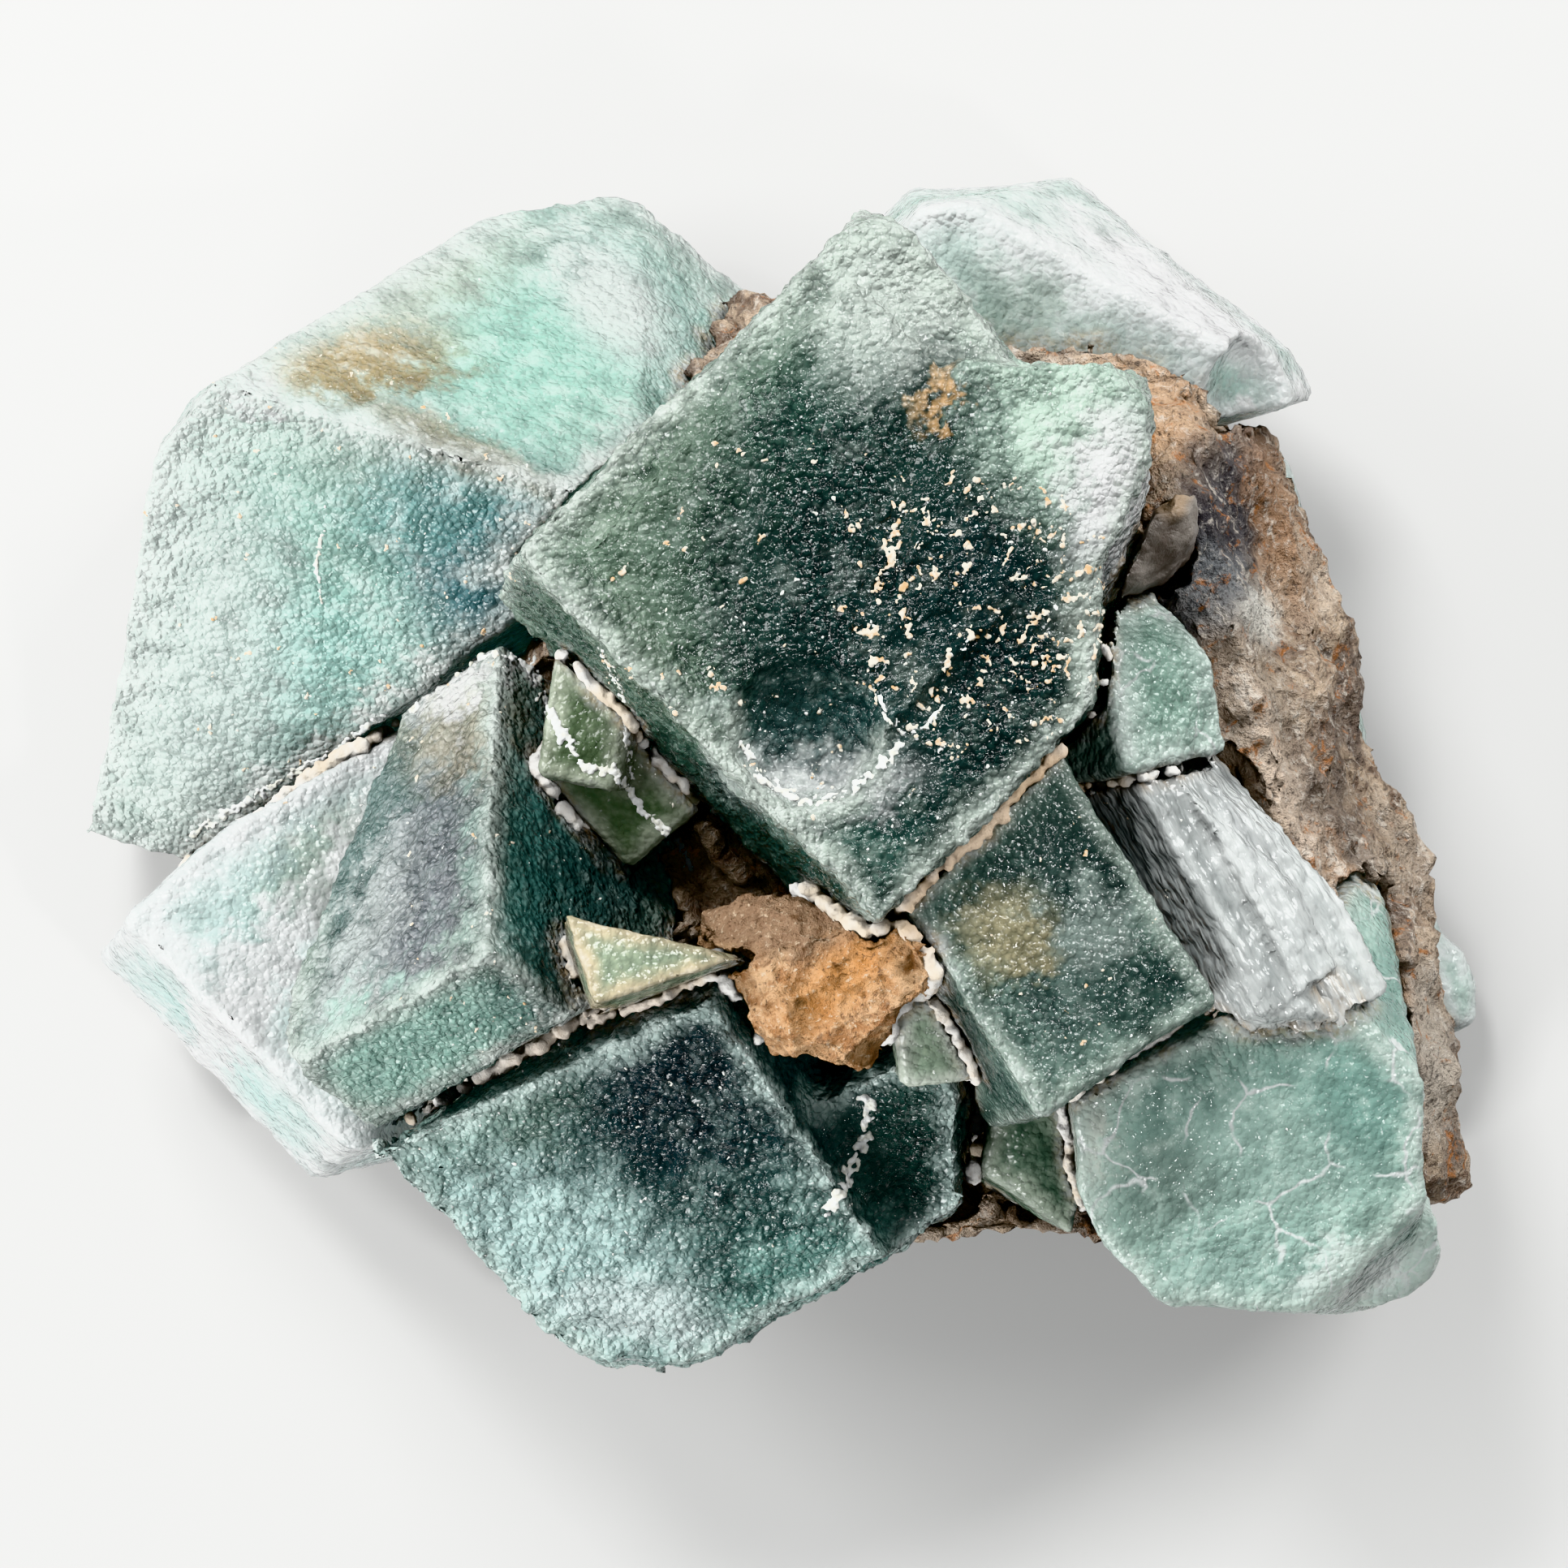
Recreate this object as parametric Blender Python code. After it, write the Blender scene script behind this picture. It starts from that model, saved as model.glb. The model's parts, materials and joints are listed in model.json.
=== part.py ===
"""Fluorite specimen: blue-green cubes grown together on a lump of brown vein rock.

The specimen lies on the flat break of its rock, crystals up. +Z is up, +X runs to the side where the
rock shows, and the origin is on the resting plane under the middle of the specimen.
Lengths below are in millimetres and angles in degrees. new_object turns them into metres.
"""

import math
from typing import NamedTuple

import bmesh
import bpy
from mathutils import Matrix, Vector, noise

MM = 0.001
CROWN_HEIGHT = 46.0

# The middle of the specimen in the coordinates that the pieces are measured in.
MIDDLE = (0.0, 0.32)

# Crystals that touch stay this far apart, where the real ones have a line of grains between them.
SEAM = 0.3
EDGE_ROUNDING = 0.45

# A growth layer is sunk this far into its face, and ends this far before a broken edge.
LAYER_SUNK = 1.5
LAYER_MARGIN = 0.85

# The rock is a ball pressed out to a hull of corner points and roughened. Its foot is cut off at the
# resting plane, so its lowest corners lie below it.
ROCK_FINENESS = 5
ROCK_ROUGHNESS = 0.8
ROCK_GRAIN = 7.0
BELOW_FLOOR = -3.0

# How much of the roughness is rounded lumps and how much is stepped ledges.
LUMPS = 1.6
LEDGES = 0.9

# Fractal noise: how fast its octaves fade, how much finer each one is, and how many there are.
LUMP_FRACTAL = (0.8, 2.0, 3)
# Ledges per length of rock grain.
LEDGE_SPACING = 0.8
# A hull plane that a ray meets at less than this is passed by.
EDGE_ON = 1e-4
# Rough stone against rough stone keeps a wider gap.
ROUGH_SEAM = 0.45
SHELL_FINENESS = 3


class Cube(NamedTuple):
    """One cubic crystal, described by the face that looks up.

    corner     a corner of that face: x, y, z
    corner_at  which corner it is, as signs along the face's first and second edge
    face       azimuth and elevation of the face's normal
    heading    azimuth of the first edge seen from above; the second lies a quarter turn on
    size       first edge, second edge, depth behind the face
    breaks     planes where the crystal is cleaved, broken or met by a neighbour: x, y, z, azimuth, elevation
    steps      growth layers standing on the face: start and end along each edge from the corner
               where both begin, and thickness
    """

    corner: tuple
    corner_at: tuple
    face: tuple
    heading: float
    size: tuple
    breaks: tuple = ()
    steps: tuple = ()


# The contact between the big upper left crystal and the two below it: one plane, seen from both sides.
LEFT_CONTACT = (-27.1, 1.6, 20.0, -58.0, 4.0)
LOWER_CONTACT = (-16.8, -16.6, 34.0, -60.0, 0.0)


def far_side(contact):
    """The same plane as the neighbour on its other side sees it."""
    x, y, z, azimuth, elevation = contact
    return (x, y, z, azimuth + 180.0, -elevation)


CRYSTALS = {
    # The largest face, dark blue-green, with a growth layer that stops short of two edges.
    "crystal_centre": [
        Cube(
            corner=(-15.5, 12.7, CROWN_HEIGHT),
            corner_at=(-1, -1),
            face=(44.0, 82.0),
            heading=-45.0,
            size=(29.5, 29.4, 20.0),
            breaks=(
                (17.9, 7.0, 43.0, -5.0, 4.0),
                (5.5, 31.4, 44.0, 84.0, 12.0),
                (10.9, 26.8, 43.0, 34.0, 10.0),
            ),
            steps=((2.6, 22.2, 2.4, 25.0, 0.8),),
        ),
        # The lobe on its right is a second cube, turned a little and grown through the first.
        Cube(
            corner=(6.6, 24.2, 44.4),
            corner_at=(-1, 1),
            face=(20.0, 80.0),
            heading=-2.0,
            size=(15.5, 15.0, 13.0),
            breaks=(
                (21.0, 18.4, 42.0, -4.0, 10.0),
                (19.9, 15.4, 42.0, -25.0, 10.0),
                (19.8, 22.6, 42.0, 44.0, 14.0),
                (15.0, 24.4, 42.0, 84.0, 12.0),
                (7.6, 21.5, 42.0, 160.0, 30.0),
            ),
        ),
    ],
    # The big cube on the left, whose two upper faces meet in a ridge.
    "crystal_upper_left": [
        Cube(
            corner=(-38.0, 24.7, 30.0),
            corner_at=(-1, 1),
            face=(253.0, 52.0),
            heading=-17.0,
            size=(40.0, 36.0, 31.5),
            breaks=(
                LEFT_CONTACT,
                (-26.5, 29.0, 16.0, 122.5, 4.0),
                (-40.1, 7.9, 16.0, 165.0, 0.0),
                (-41.6, -4.0, 10.0, 248.0, 0.0),
                (-37.2, 19.6, 24.0, 144.0, 8.0),
                (-5.8, 33.1, 5.0, 42.0, 28.0),
                (-15.0, 35.6, 7.0, 101.0, 4.0),
                (-30.0, 10.0, 3.0, 205.0, -88.0),
            ),
        )
    ],
    # Low at the left, partly covered by the next one.
    "crystal_lower_left": [
        Cube(
            corner=(-39.2, -8.0, 22.0),
            corner_at=(-1, -1),
            face=(44.0, 72.0),
            heading=-46.0,
            size=(22.0, 21.0, 13.0),
            breaks=(
                far_side(LEFT_CONTACT), (-41.0, -9.2, 17.0, 180.0, 12.0), (-25.0, -22.8, 16.0, -76.0, 8.0),
            ),
        )
    ],
    # Stands corner up: three faces meet at the corner that looks up.
    "crystal_left_corner": [
        Cube(
            corner=(-16.7, -9.6, 42.0),
            corner_at=(-1, -1),
            face=(270.0, 41.4),
            heading=210.0,
            size=(16.4, 16.5, 24.5),
            breaks=(
                far_side(LEFT_CONTACT),
                LOWER_CONTACT,
                (-27.0, -6.0, 28.0, 163.0, -8.0),
                (-12.4, 2.6, 30.0, 35.0, 14.0),
                (-28.4, -16.6, 33.0, 212.0, 18.0),
            ),
        )
    ],
    # At the front, on the -Y side: two cubes grown side by side.
    "crystal_bottom": [
        Cube(
            corner=(-2.4, -11.4, 38.4),
            corner_at=(1, 1),
            face=(262.0, 55.0),
            heading=25.0,
            size=(28.0, 24.6, 22.0),
            breaks=(
                far_side(LOWER_CONTACT),
                (1.3, -20.3, 33.0, 20.0, 24.0),
                (1.6, -31.6, 22.0, -62.0, 8.0),
                (-22.0, -24.6, 26.0, 218.0, -4.0),
                (-17.4, -31.2, 22.0, 236.0, 4.0),
                (-9.6, -35.4, 20.0, 266.0, 8.0),
                (-8.0, -18.0, 4.5, 240.0, -78.0),
            ),
        ),
        Cube(
            corner=(8.6, -15.2, 33.5),
            corner_at=(1, 1),
            face=(262.0, 55.0),
            heading=25.0,
            size=(17.0, 14.5, 15.0),
            breaks=((10.7, -19.5, 30.0, -2.0, 6.0), (9.6, -26.4, 24.0, -58.0, 6.0)),
        ),
    ],
    # A clean square face beside the centre crystal.
    "crystal_right": [
        Cube(
            corner=(24.9, -12.4, 39.0),
            corner_at=(1, 1),
            face=(30.0, 78.0),
            heading=-57.0,
            size=(24.0, 12.6, 15.0),
            breaks=((22.2, -5.6, 38.0, 28.0, 14.0),),
        )
    ],
    # Broken on most sides, full of cleavage cracks, with a flake standing off its lower edge.
    "crystal_lower_right": [
        Cube(
            corner=(13.0, -20.0, 34.0),
            corner_at=(-1, 1),
            face=(300.0, 76.0),
            heading=28.0,
            size=(29.0, 24.0, 15.0),
            breaks=(
                (16.5, -21.5, 30.0, 184.0, -2.0),
                (17.6, -25.6, 28.0, 202.0, -4.0),
                (19.9, -28.6, 26.0, 224.0, -2.0),
                (26.0, -31.1, 24.0, 266.0, 2.0),
                (37.2, -20.0, 27.0, 4.0, -2.0),
                (34.8, -13.2, 30.0, 40.0, 26.0),
                (36.4, -28.6, 24.0, 312.0, 20.0),
            ),
        ),
        Cube(
            corner=(29.2, -27.6, 27.0),
            corner_at=(-1, 1),
            face=(288.0, 62.0),
            heading=14.0,
            size=(9.4, 5.4, 8.0),
            breaks=((31.0, -31.2, 24.0, 262.0, 0.0), (37.6, -30.0, 24.0, 320.0, 4.0)),
        ),
    ],
    # Low at the back on the right, ending in a thin rim.
    "crystal_upper_right": [
        Cube(
            corner=(6.0, 36.6, 24.0),
            corner_at=(-1, 1),
            face=(241.5, 60.0),
            heading=-28.5,
            size=(29.5, 17.0, 12.0),
            breaks=(
                (11.0, 35.2, 19.0, 96.0, 10.0),
                (6.8, 33.6, 20.0, 138.0, 8.0),
                (31.2, 24.6, 14.0, 20.0, 20.0),
                (24.6, 31.0, 14.0, 52.0, 12.0),
                (28.6, 22.0, 14.0, 284.0, 0.0),
            ),
        )
    ],
    # Fills the corner between the centre crystal and the rock.
    "crystal_right_upper": [
        Cube(
            corner=(17.4, 10.6, 38.6),
            corner_at=(-1, -1),
            face=(12.0, 54.0),
            heading=-78.0,
            size=(10.5, 8.0, 11.0),
            breaks=((21.4, 8.6, 35.0, 58.0, 30.0),),
        )
    ],
    # A long splinter between the square crystal and the rock, cleaved along its length.
    "cleaved_splinter": [
        Cube(
            corner=(18.9, 2.0, 37.4),
            corner_at=(-1, -1),
            face=(26.0, 56.0),
            heading=-61.0,
            size=(20.5, 9.4, 10.0),
            breaks=((28.6, -14.8, 33.0, -84.0, 20.0), (27.0, 0.0, 30.0, 44.0, 20.0)),
            steps=((1.5, 17.5, 2.6, 6.0, 0.7),),
        )
    ],
    # A loose-looking chip that stands on edge between the left corner crystal and the ochre block.
    "olive_chip": [
        Cube(
            corner=(-12.8, -7.4, 40.2),
            corner_at=(-1, 1),
            face=(120.0, 80.0),
            heading=-12.0,
            size=(10.6, 6.4, 12.0),
            breaks=(
                (-6.6, -11.6, 39.0, -72.0, 6.0), (-11.7, -10.7, 39.0, 196.0, 8.0), (-4.2, -8.7, 39.6, 62.0, 16.0),
            ),
        )
    ],
    # Small ones in the gap below the centre crystal.
    "gap_crystals": [
        Cube(
            corner=(-13.4, 7.4, 33.5),
            corner_at=(-1, 1),
            face=(205.0, 72.0),
            heading=-12.0,
            size=(5.2, 7.4, 12.0),
        ),
        Cube(
            corner=(-10.6, 4.4, 31.6),
            corner_at=(-1, 1),
            face=(230.0, 66.0),
            heading=-48.0,
            size=(8.4, 6.0, 12.0),
        ),
    ],
    # A cleaved piece wedged under the square crystal.
    "pale_chip": [
        Cube(
            corner=(6.0, -12.6, 36.4),
            corner_at=(-1, 1),
            face=(290.0, 70.0),
            heading=8.0,
            size=(6.6, 5.6, 12.0),
            breaks=((11.6, -16.4, 35.0, -20.0, 10.0),),
        )
    ],
    # Deep in the gap between the bottom and the lower right crystal.
    "under_crystal": [
        Cube(
            corner=(12.8, -16.2, 27.0),
            corner_at=(-1, 1),
            face=(268.0, 66.0),
            heading=-10.0,
            size=(6.4, 11.0, 15.0),
            breaks=((15.0, -26.2, 20.0, 236.0, 10.0),),
        )
    ],
}

# These are clearer than the rest, almost without colour.
PALE = ("cleaved_splinter", "pale_chip")

# Shell-shaped fractures, each the mark of a ball: x, y, z and radius.
SHELL_BREAKS = {
    "crystal_bottom": ((3.6, -19.4, 37.2, 5.2),),
    "crystal_upper_right": ((31.2, 21.8, 22.6, 6.4),),
    "crystal_lower_right": ((36.6, -22.6, 38.6, 7.4),),
    "crystal_upper_left": ((-44.0, 5.6, 19.0, 5.4),),
}

# The neighbours that each crystal stops at: they keep their full shape and it ends at their faces.
STOPS_AT = {
    "crystal_upper_left": ("crystal_centre",),
    "crystal_lower_left": ("crystal_left_corner", "crystal_bottom"),
    "crystal_left_corner": ("crystal_centre",),
    "crystal_bottom": ("crystal_centre",),
    "crystal_right": ("crystal_centre", "crystal_bottom"),
    "crystal_lower_right": ("crystal_right", "crystal_bottom"),
    "crystal_upper_right": ("crystal_centre", "crystal_upper_left"),
    "crystal_right_upper": ("crystal_centre", "crystal_right"),
    "cleaved_splinter": ("crystal_centre", "crystal_right", "crystal_lower_right", "crystal_right_upper"),
    "olive_chip": ("crystal_left_corner", "crystal_bottom"),
    "gap_crystals": ("crystal_centre", "crystal_left_corner", "crystal_upper_left", "crystal_bottom"),
    "pale_chip": ("crystal_right", "crystal_bottom", "crystal_centre"),
    "under_crystal": ("crystal_right", "crystal_bottom", "crystal_lower_right", "pale_chip"),
}


# Pieces that fill the space left between crystals.
OCHRE_STOPS_AT = (
    "crystal_centre", "crystal_right", "crystal_bottom", "pale_chip", "olive_chip", "gap_crystals",
)  # fmt: skip
SMOKY_STOPS_AT = ("crystal_centre", "crystal_right_upper")


class Lump(NamedTuple):
    """A broken piece of rock: the hull of its corners, with its own coarseness and seed."""

    corners: tuple
    fineness: int
    roughness: float
    grain: float
    seed: float
    rests: bool = False


OCHRE_BLOCK = Lump(
    corners=(
        (-5.9, -7.4, 34.5), (-1.0, -5.6, 37.5), (5.4, -7.4, 41.6), (9.4, -8.2, 42.4), (9.3, -10.8, 41.0),
        (7.0, -12.6, 41.4), (4.4, -16.6, 39.6), (1.6, -15.0, 40.2), (-0.9, -16.0, 38.2), (-3.8, -11.4, 38.0),
        (-1.4, -10.4, 41.0), (-5.0, -8.0, 25.0), (8.4, -8.4, 26.0), (7.0, -13.0, 27.0), (0.6, -14.0, 26.0),
    ),
    fineness=3,
    roughness=0.45,
    grain=2.4,
    seed=3.0,
)  # fmt: skip

SMOKY_CHIP = Lump(
    corners=(
        (18.0, 12.0, 37.6), (18.4, 10.2, 37.0), (21.0, 16.0, 37.8), (23.6, 16.6, 36.8), (23.8, 14.4, 35.6),
        (22.6, 12.2, 34.8), (19.2, 9.9, 33.0), (19.4, 11.6, 28.0), (23.0, 15.6, 27.0), (23.4, 12.6, 26.0),
    ),
    fineness=3,
    roughness=0.2,
    grain=2.6,
    seed=11.0,
)  # fmt: skip

ROCK_FOOT = (
    (-27.0, -6.0), (-24.0, 10.0), (-13.0, 24.0), (-1.0, 29.5), (15.0, 28.5), (28.5, 20.0), (30.6, 11.0),
    (32.6, 0.0), (35.8, -9.0), (41.0, -17.0), (40.4, -25.0), (31.0, -27.0), (16.0, -22.0), (4.0, -20.0),
    (-9.0, -22.0), (-20.0, -17.0),
)  # fmt: skip
ROCK_FLANK = (
    (20.6, 24.0, 26.5), (24.3, 25.6, 25.0), (27.0, 22.0, 21.0), (30.8, 21.8, 12.0), (32.8, 13.5, 11.0),
    (34.8, 5.0, 9.0), (38.0, -5.5, 9.0), (42.2, -14.2, 8.5), (42.6, -23.6, 8.0), (41.0, -26.0, 8.0),
    (24.2, 18.0, 31.0), (25.6, 8.0, 31.5), (28.6, -2.0, 29.0), (33.2, -9.0, 27.5), (37.6, -16.6, 22.0),
    (39.6, -25.0, 16.0),
)  # fmt: skip
ROCK_CROWN = (
    (-16.0, 5.0, 25.0), (-2.0, 1.0, 30.0), (0.0, -12.0, 26.0), (-10.0, -13.0, 25.0), (14.0, 10.0, 32.0),
    (4.0, 24.0, 22.0), (-8.0, 23.0, 18.0), (-2.4, 31.0, 12.0), (20.0, -12.0, 24.0), (-24.0, -4.0, 12.0),
    (9.5, -26.4, 20.0), (14.6, -25.2, 20.0), (4.2, -28.4, 18.0),
)  # fmt: skip
VEIN_ROCK = Lump(
    corners=tuple((x, y, BELOW_FLOOR) for x, y in ROCK_FOOT) + ROCK_FLANK + ROCK_CROWN,
    fineness=ROCK_FINENESS,
    roughness=ROCK_ROUGHNESS,
    grain=ROCK_GRAIN,
    seed=7.0,
    rests=True,
)

# Fluorite below the rock, which shows as a pale edge on the right: outer edge, inner edge and height.
RIM_LENGTHS = (
    (((30.8, 21.4), (33.2, 14.0), (35.2, 8.0)), ((26.0, 16.0), (29.0, 6.5)), 7.0),
    (((34.4, 10.0), (36.0, 6.8), (36.3, 0.6), (37.2, -2.4)), ((29.0, 8.0), (31.0, -3.0)), 6.6),
    (((35.9, 3.2), (38.4, -2.6), (39.8, -6.2)), ((30.0, 2.0), (33.6, -6.0)), 6.2),
    (((39.2, -4.0), (40.4, -8.8), (43.2, -14.0), (42.0, -15.8)), ((32.0, -3.6), (36.0, -15.4)), 5.8),
)


# The widest line of the rim stands at this part of its height, and slopes in above and below it.
RIM_WAIST = 0.55
RIM_SHOULDER = 2.2
RIM_UNDERCUT = 1.0
RIM_FINENESS = 3
RIM_ROUGHNESS = 0.35
RIM_GRAIN = 4.0
RIM_FIRST_SEED = 19.0
RIM_SEED_STEP = 4.0


def rim_lump(outer, inner, height, seed):
    """One length of the rim, thinning to its outer edge."""
    edge = tuple((x, y, height * RIM_WAIST) for x, y in outer)
    crest = tuple((x - RIM_SHOULDER, y, height) for x, y in outer)
    back = tuple((x, y, height) for x, y in inner)
    foot = tuple((x - RIM_UNDERCUT, y, BELOW_FLOOR) for x, y in outer + inner)
    return Lump(
        corners=edge + crest + back + foot,
        fineness=RIM_FINENESS,
        roughness=RIM_ROUGHNESS,
        grain=RIM_GRAIN,
        seed=seed,
        rests=True,
    )


FLUORITE_RIM = tuple(
    rim_lump(*length, seed=RIM_FIRST_SEED + RIM_SEED_STEP * number)
    for number, length in enumerate(RIM_LENGTHS)
)


def direction(azimuth, elevation=0.0):
    """Unit vector at an azimuth from +X and an elevation above the resting plane."""
    a, e = math.radians(azimuth), math.radians(elevation)
    return Vector((math.cos(a) * math.cos(e), math.sin(a) * math.cos(e), math.sin(e)))


def cube_axes(cube):
    """The crystal's own axes: first edge, second edge, normal of the face that looks up."""
    normal = direction(*cube.face)
    flat = direction(cube.heading)
    first = Vector((flat.x, flat.y, -(normal.x * flat.x + normal.y * flat.y) / normal.z)).normalized()
    return first, normal.cross(first), normal


def cube_centre(cube):
    centre = Vector(cube.corner)
    first, second, normal = cube_axes(cube)
    centre -= first * cube.corner_at[0] * cube.size[0] / 2
    centre -= second * cube.corner_at[1] * cube.size[1] / 2
    return centre - normal * cube.size[2] / 2


def placed_box(axes, centre, size):
    """A bmesh box of the given edge lengths, turned to the axes."""
    box = bmesh.new()
    bmesh.ops.create_cube(box, size=1.0)
    turn = Matrix(axes).transposed().to_4x4()
    placing = Matrix.Translation(centre) @ turn @ Matrix.Diagonal((*size, 1.0))
    bmesh.ops.transform(box, matrix=placing, verts=box.verts)
    return box


def break_off(mesh, point, outward):
    """Removes what lies beyond a plane and closes the break."""
    everything = mesh.verts[:] + mesh.edges[:] + mesh.faces[:]
    cut = bmesh.ops.bisect_plane(
        mesh, geom=everything, plane_co=point, plane_no=outward, clear_outer=True
    )
    rim = [item for item in cut["geom_cut"] if isinstance(item, bmesh.types.BMEdge)]
    if rim:
        bmesh.ops.edgeloop_fill(mesh, edges=rim)


def crystal_solid(cube, grow=0.0):
    """One cube with its breaks, every face moved out by grow."""
    size = [edge + 2 * grow for edge in cube.size]
    solid = placed_box(cube_axes(cube), cube_centre(cube), size)
    for x, y, z, azimuth, elevation in cube.breaks:
        outward = direction(azimuth, elevation)
        break_off(solid, Vector((x, y, z)) + outward * (grow - SEAM / 2), outward)
    if not grow:
        bmesh.ops.bevel(
            solid, geom=solid.edges[:], offset=EDGE_ROUNDING, segments=1, affect="EDGES", clamp_overlap=True
        )
    bmesh.ops.recalc_face_normals(solid, faces=solid.faces)
    return solid


def step_solid(cube, step, grow=0.0):
    """A growth layer on the crystal's upper face, sunk into it so that the two join."""
    start_1, end_1, start_2, end_2, thickness = step
    first, second, normal = cube_axes(cube)
    origin = cube_centre(cube) + normal * cube.size[2] / 2
    origin -= first * cube.size[0] / 2 + second * cube.size[1] / 2
    centre = origin + first * (start_1 + end_1) / 2 + second * (start_2 + end_2) / 2
    centre += normal * (thickness - LAYER_SUNK) / 2
    size = [end_1 - start_1 + 2 * grow, end_2 - start_2 + 2 * grow, thickness + LAYER_SUNK + 2 * grow]
    layer = placed_box((first, second, normal), centre, size)
    for x, y, z, azimuth, elevation in cube.breaks:
        outward = direction(azimuth, elevation)
        break_off(layer, Vector((x, y, z)) + outward * (grow - LAYER_MARGIN), outward)
    if not grow:
        bmesh.ops.bevel(layer, geom=layer.edges[:], offset=EDGE_ROUNDING / 2, segments=1, affect="EDGES")
    bmesh.ops.recalc_face_normals(layer, faces=layer.faces)
    return layer


def lump_solid(lump, grow=0.0):
    """A ball pressed out to the hull of the corners and roughened, and cut flat where it rests."""
    hull = bmesh.new()
    for corner in lump.corners:
        hull.verts.new(corner)
    bmesh.ops.convex_hull(hull, input=hull.verts)
    hull.normal_update()
    middle = sum((Vector(c) for c in lump.corners), Vector()) / len(lump.corners)
    planes = [(face.normal.copy(), (face.verts[0].co - middle).dot(face.normal)) for face in hull.faces]
    hull.free()
    solid = bmesh.new()
    bmesh.ops.create_icosphere(solid, subdivisions=lump.fineness, radius=1.0)
    for vert in solid.verts:
        outward = vert.co.normalized()
        ahead = [(normal.dot(outward), far) for normal, far in planes]
        reach = min(far / facing for facing, far in ahead if facing > EDGE_ON)
        place = (middle + outward * reach) / lump.grain
        lumps = noise.fractal(place + Vector((lump.seed, 0, 0)), *LUMP_FRACTAL)
        ledges = noise.cell(place * LEDGE_SPACING + Vector((0, lump.seed, 0))) - 0.5
        uneven = lump.roughness * (LUMPS * lumps + LEDGES * ledges)
        vert.co = middle + outward * (reach + grow + uneven)
    if lump.rests and not grow:
        break_off(solid, Vector((0.0, 0.0, 0.0)), Vector((0.0, 0.0, -1.0)))
    bmesh.ops.recalc_face_normals(solid, faces=solid.faces)
    return solid


def finish_colour(name, colour, roughness, transmission=0.0, ior=1.45):
    """A plain material: the piece's own colour, with clear stone let through."""
    material = bpy.data.materials.new(name)
    material.use_nodes = True
    shader = material.node_tree.nodes["Principled BSDF"]
    shader.inputs["Base Color"].default_value = (*colour, 1.0)
    shader.inputs["Roughness"].default_value = roughness
    shader.inputs["Metallic"].default_value = 0.0
    shader.inputs["Transmission Weight"].default_value = transmission
    shader.inputs["IOR"].default_value = ior
    material.diffuse_color = (*colour, 1.0)
    return material


def collection(name):
    found = bpy.data.collections.new(name)
    bpy.context.scene.collection.children.link(found)
    return found


def new_object(name, solid, home):
    """An object in metres from a bmesh in millimetres, moved so that the specimen stands on the origin."""
    to_origin = Matrix.Translation((-MIDDLE[0], -MIDDLE[1], 0.0))
    bmesh.ops.transform(solid, matrix=Matrix.Scale(MM, 4) @ to_origin, verts=solid.verts)
    mesh = bpy.data.meshes.new(name)
    solid.to_mesh(mesh)
    solid.free()
    made = bpy.data.objects.new(name, mesh)
    home.objects.link(made)
    return made


def new_helper(name, solid, home):
    """A shape that only joins or cuts another one."""
    helper = new_object(name, solid, home)
    helper.hide_render = True
    helper.display_type = "WIRE"
    return helper


def combine(piece, helper, operation):
    modifier = piece.modifiers.new(f"{operation.lower()} {helper.name}", "BOOLEAN")
    modifier.operation = operation
    modifier.object = helper
    modifier.solver = "EXACT"


def joined_parts(name, helpers, grow):
    """Helpers for the cubes and growth layers of a crystal: its whole room if grown, else all but the first cube."""
    cubes = CRYSTALS[name]
    label = "join" if not grow else "room"
    made = []
    for number, cube in enumerate(cubes):
        if number or grow:
            made.append(new_helper(f"{label}_{name}_{number}", crystal_solid(cube, grow), helpers))
        for layer, step in enumerate(cube.steps):
            title = f"{label}_{name}_{number}_step_{layer}"
            made.append(new_helper(title, step_solid(cube, step, grow), helpers))
    return made


def clear_scene():
    for item in list(bpy.data.objects):
        bpy.data.objects.remove(item)


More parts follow.
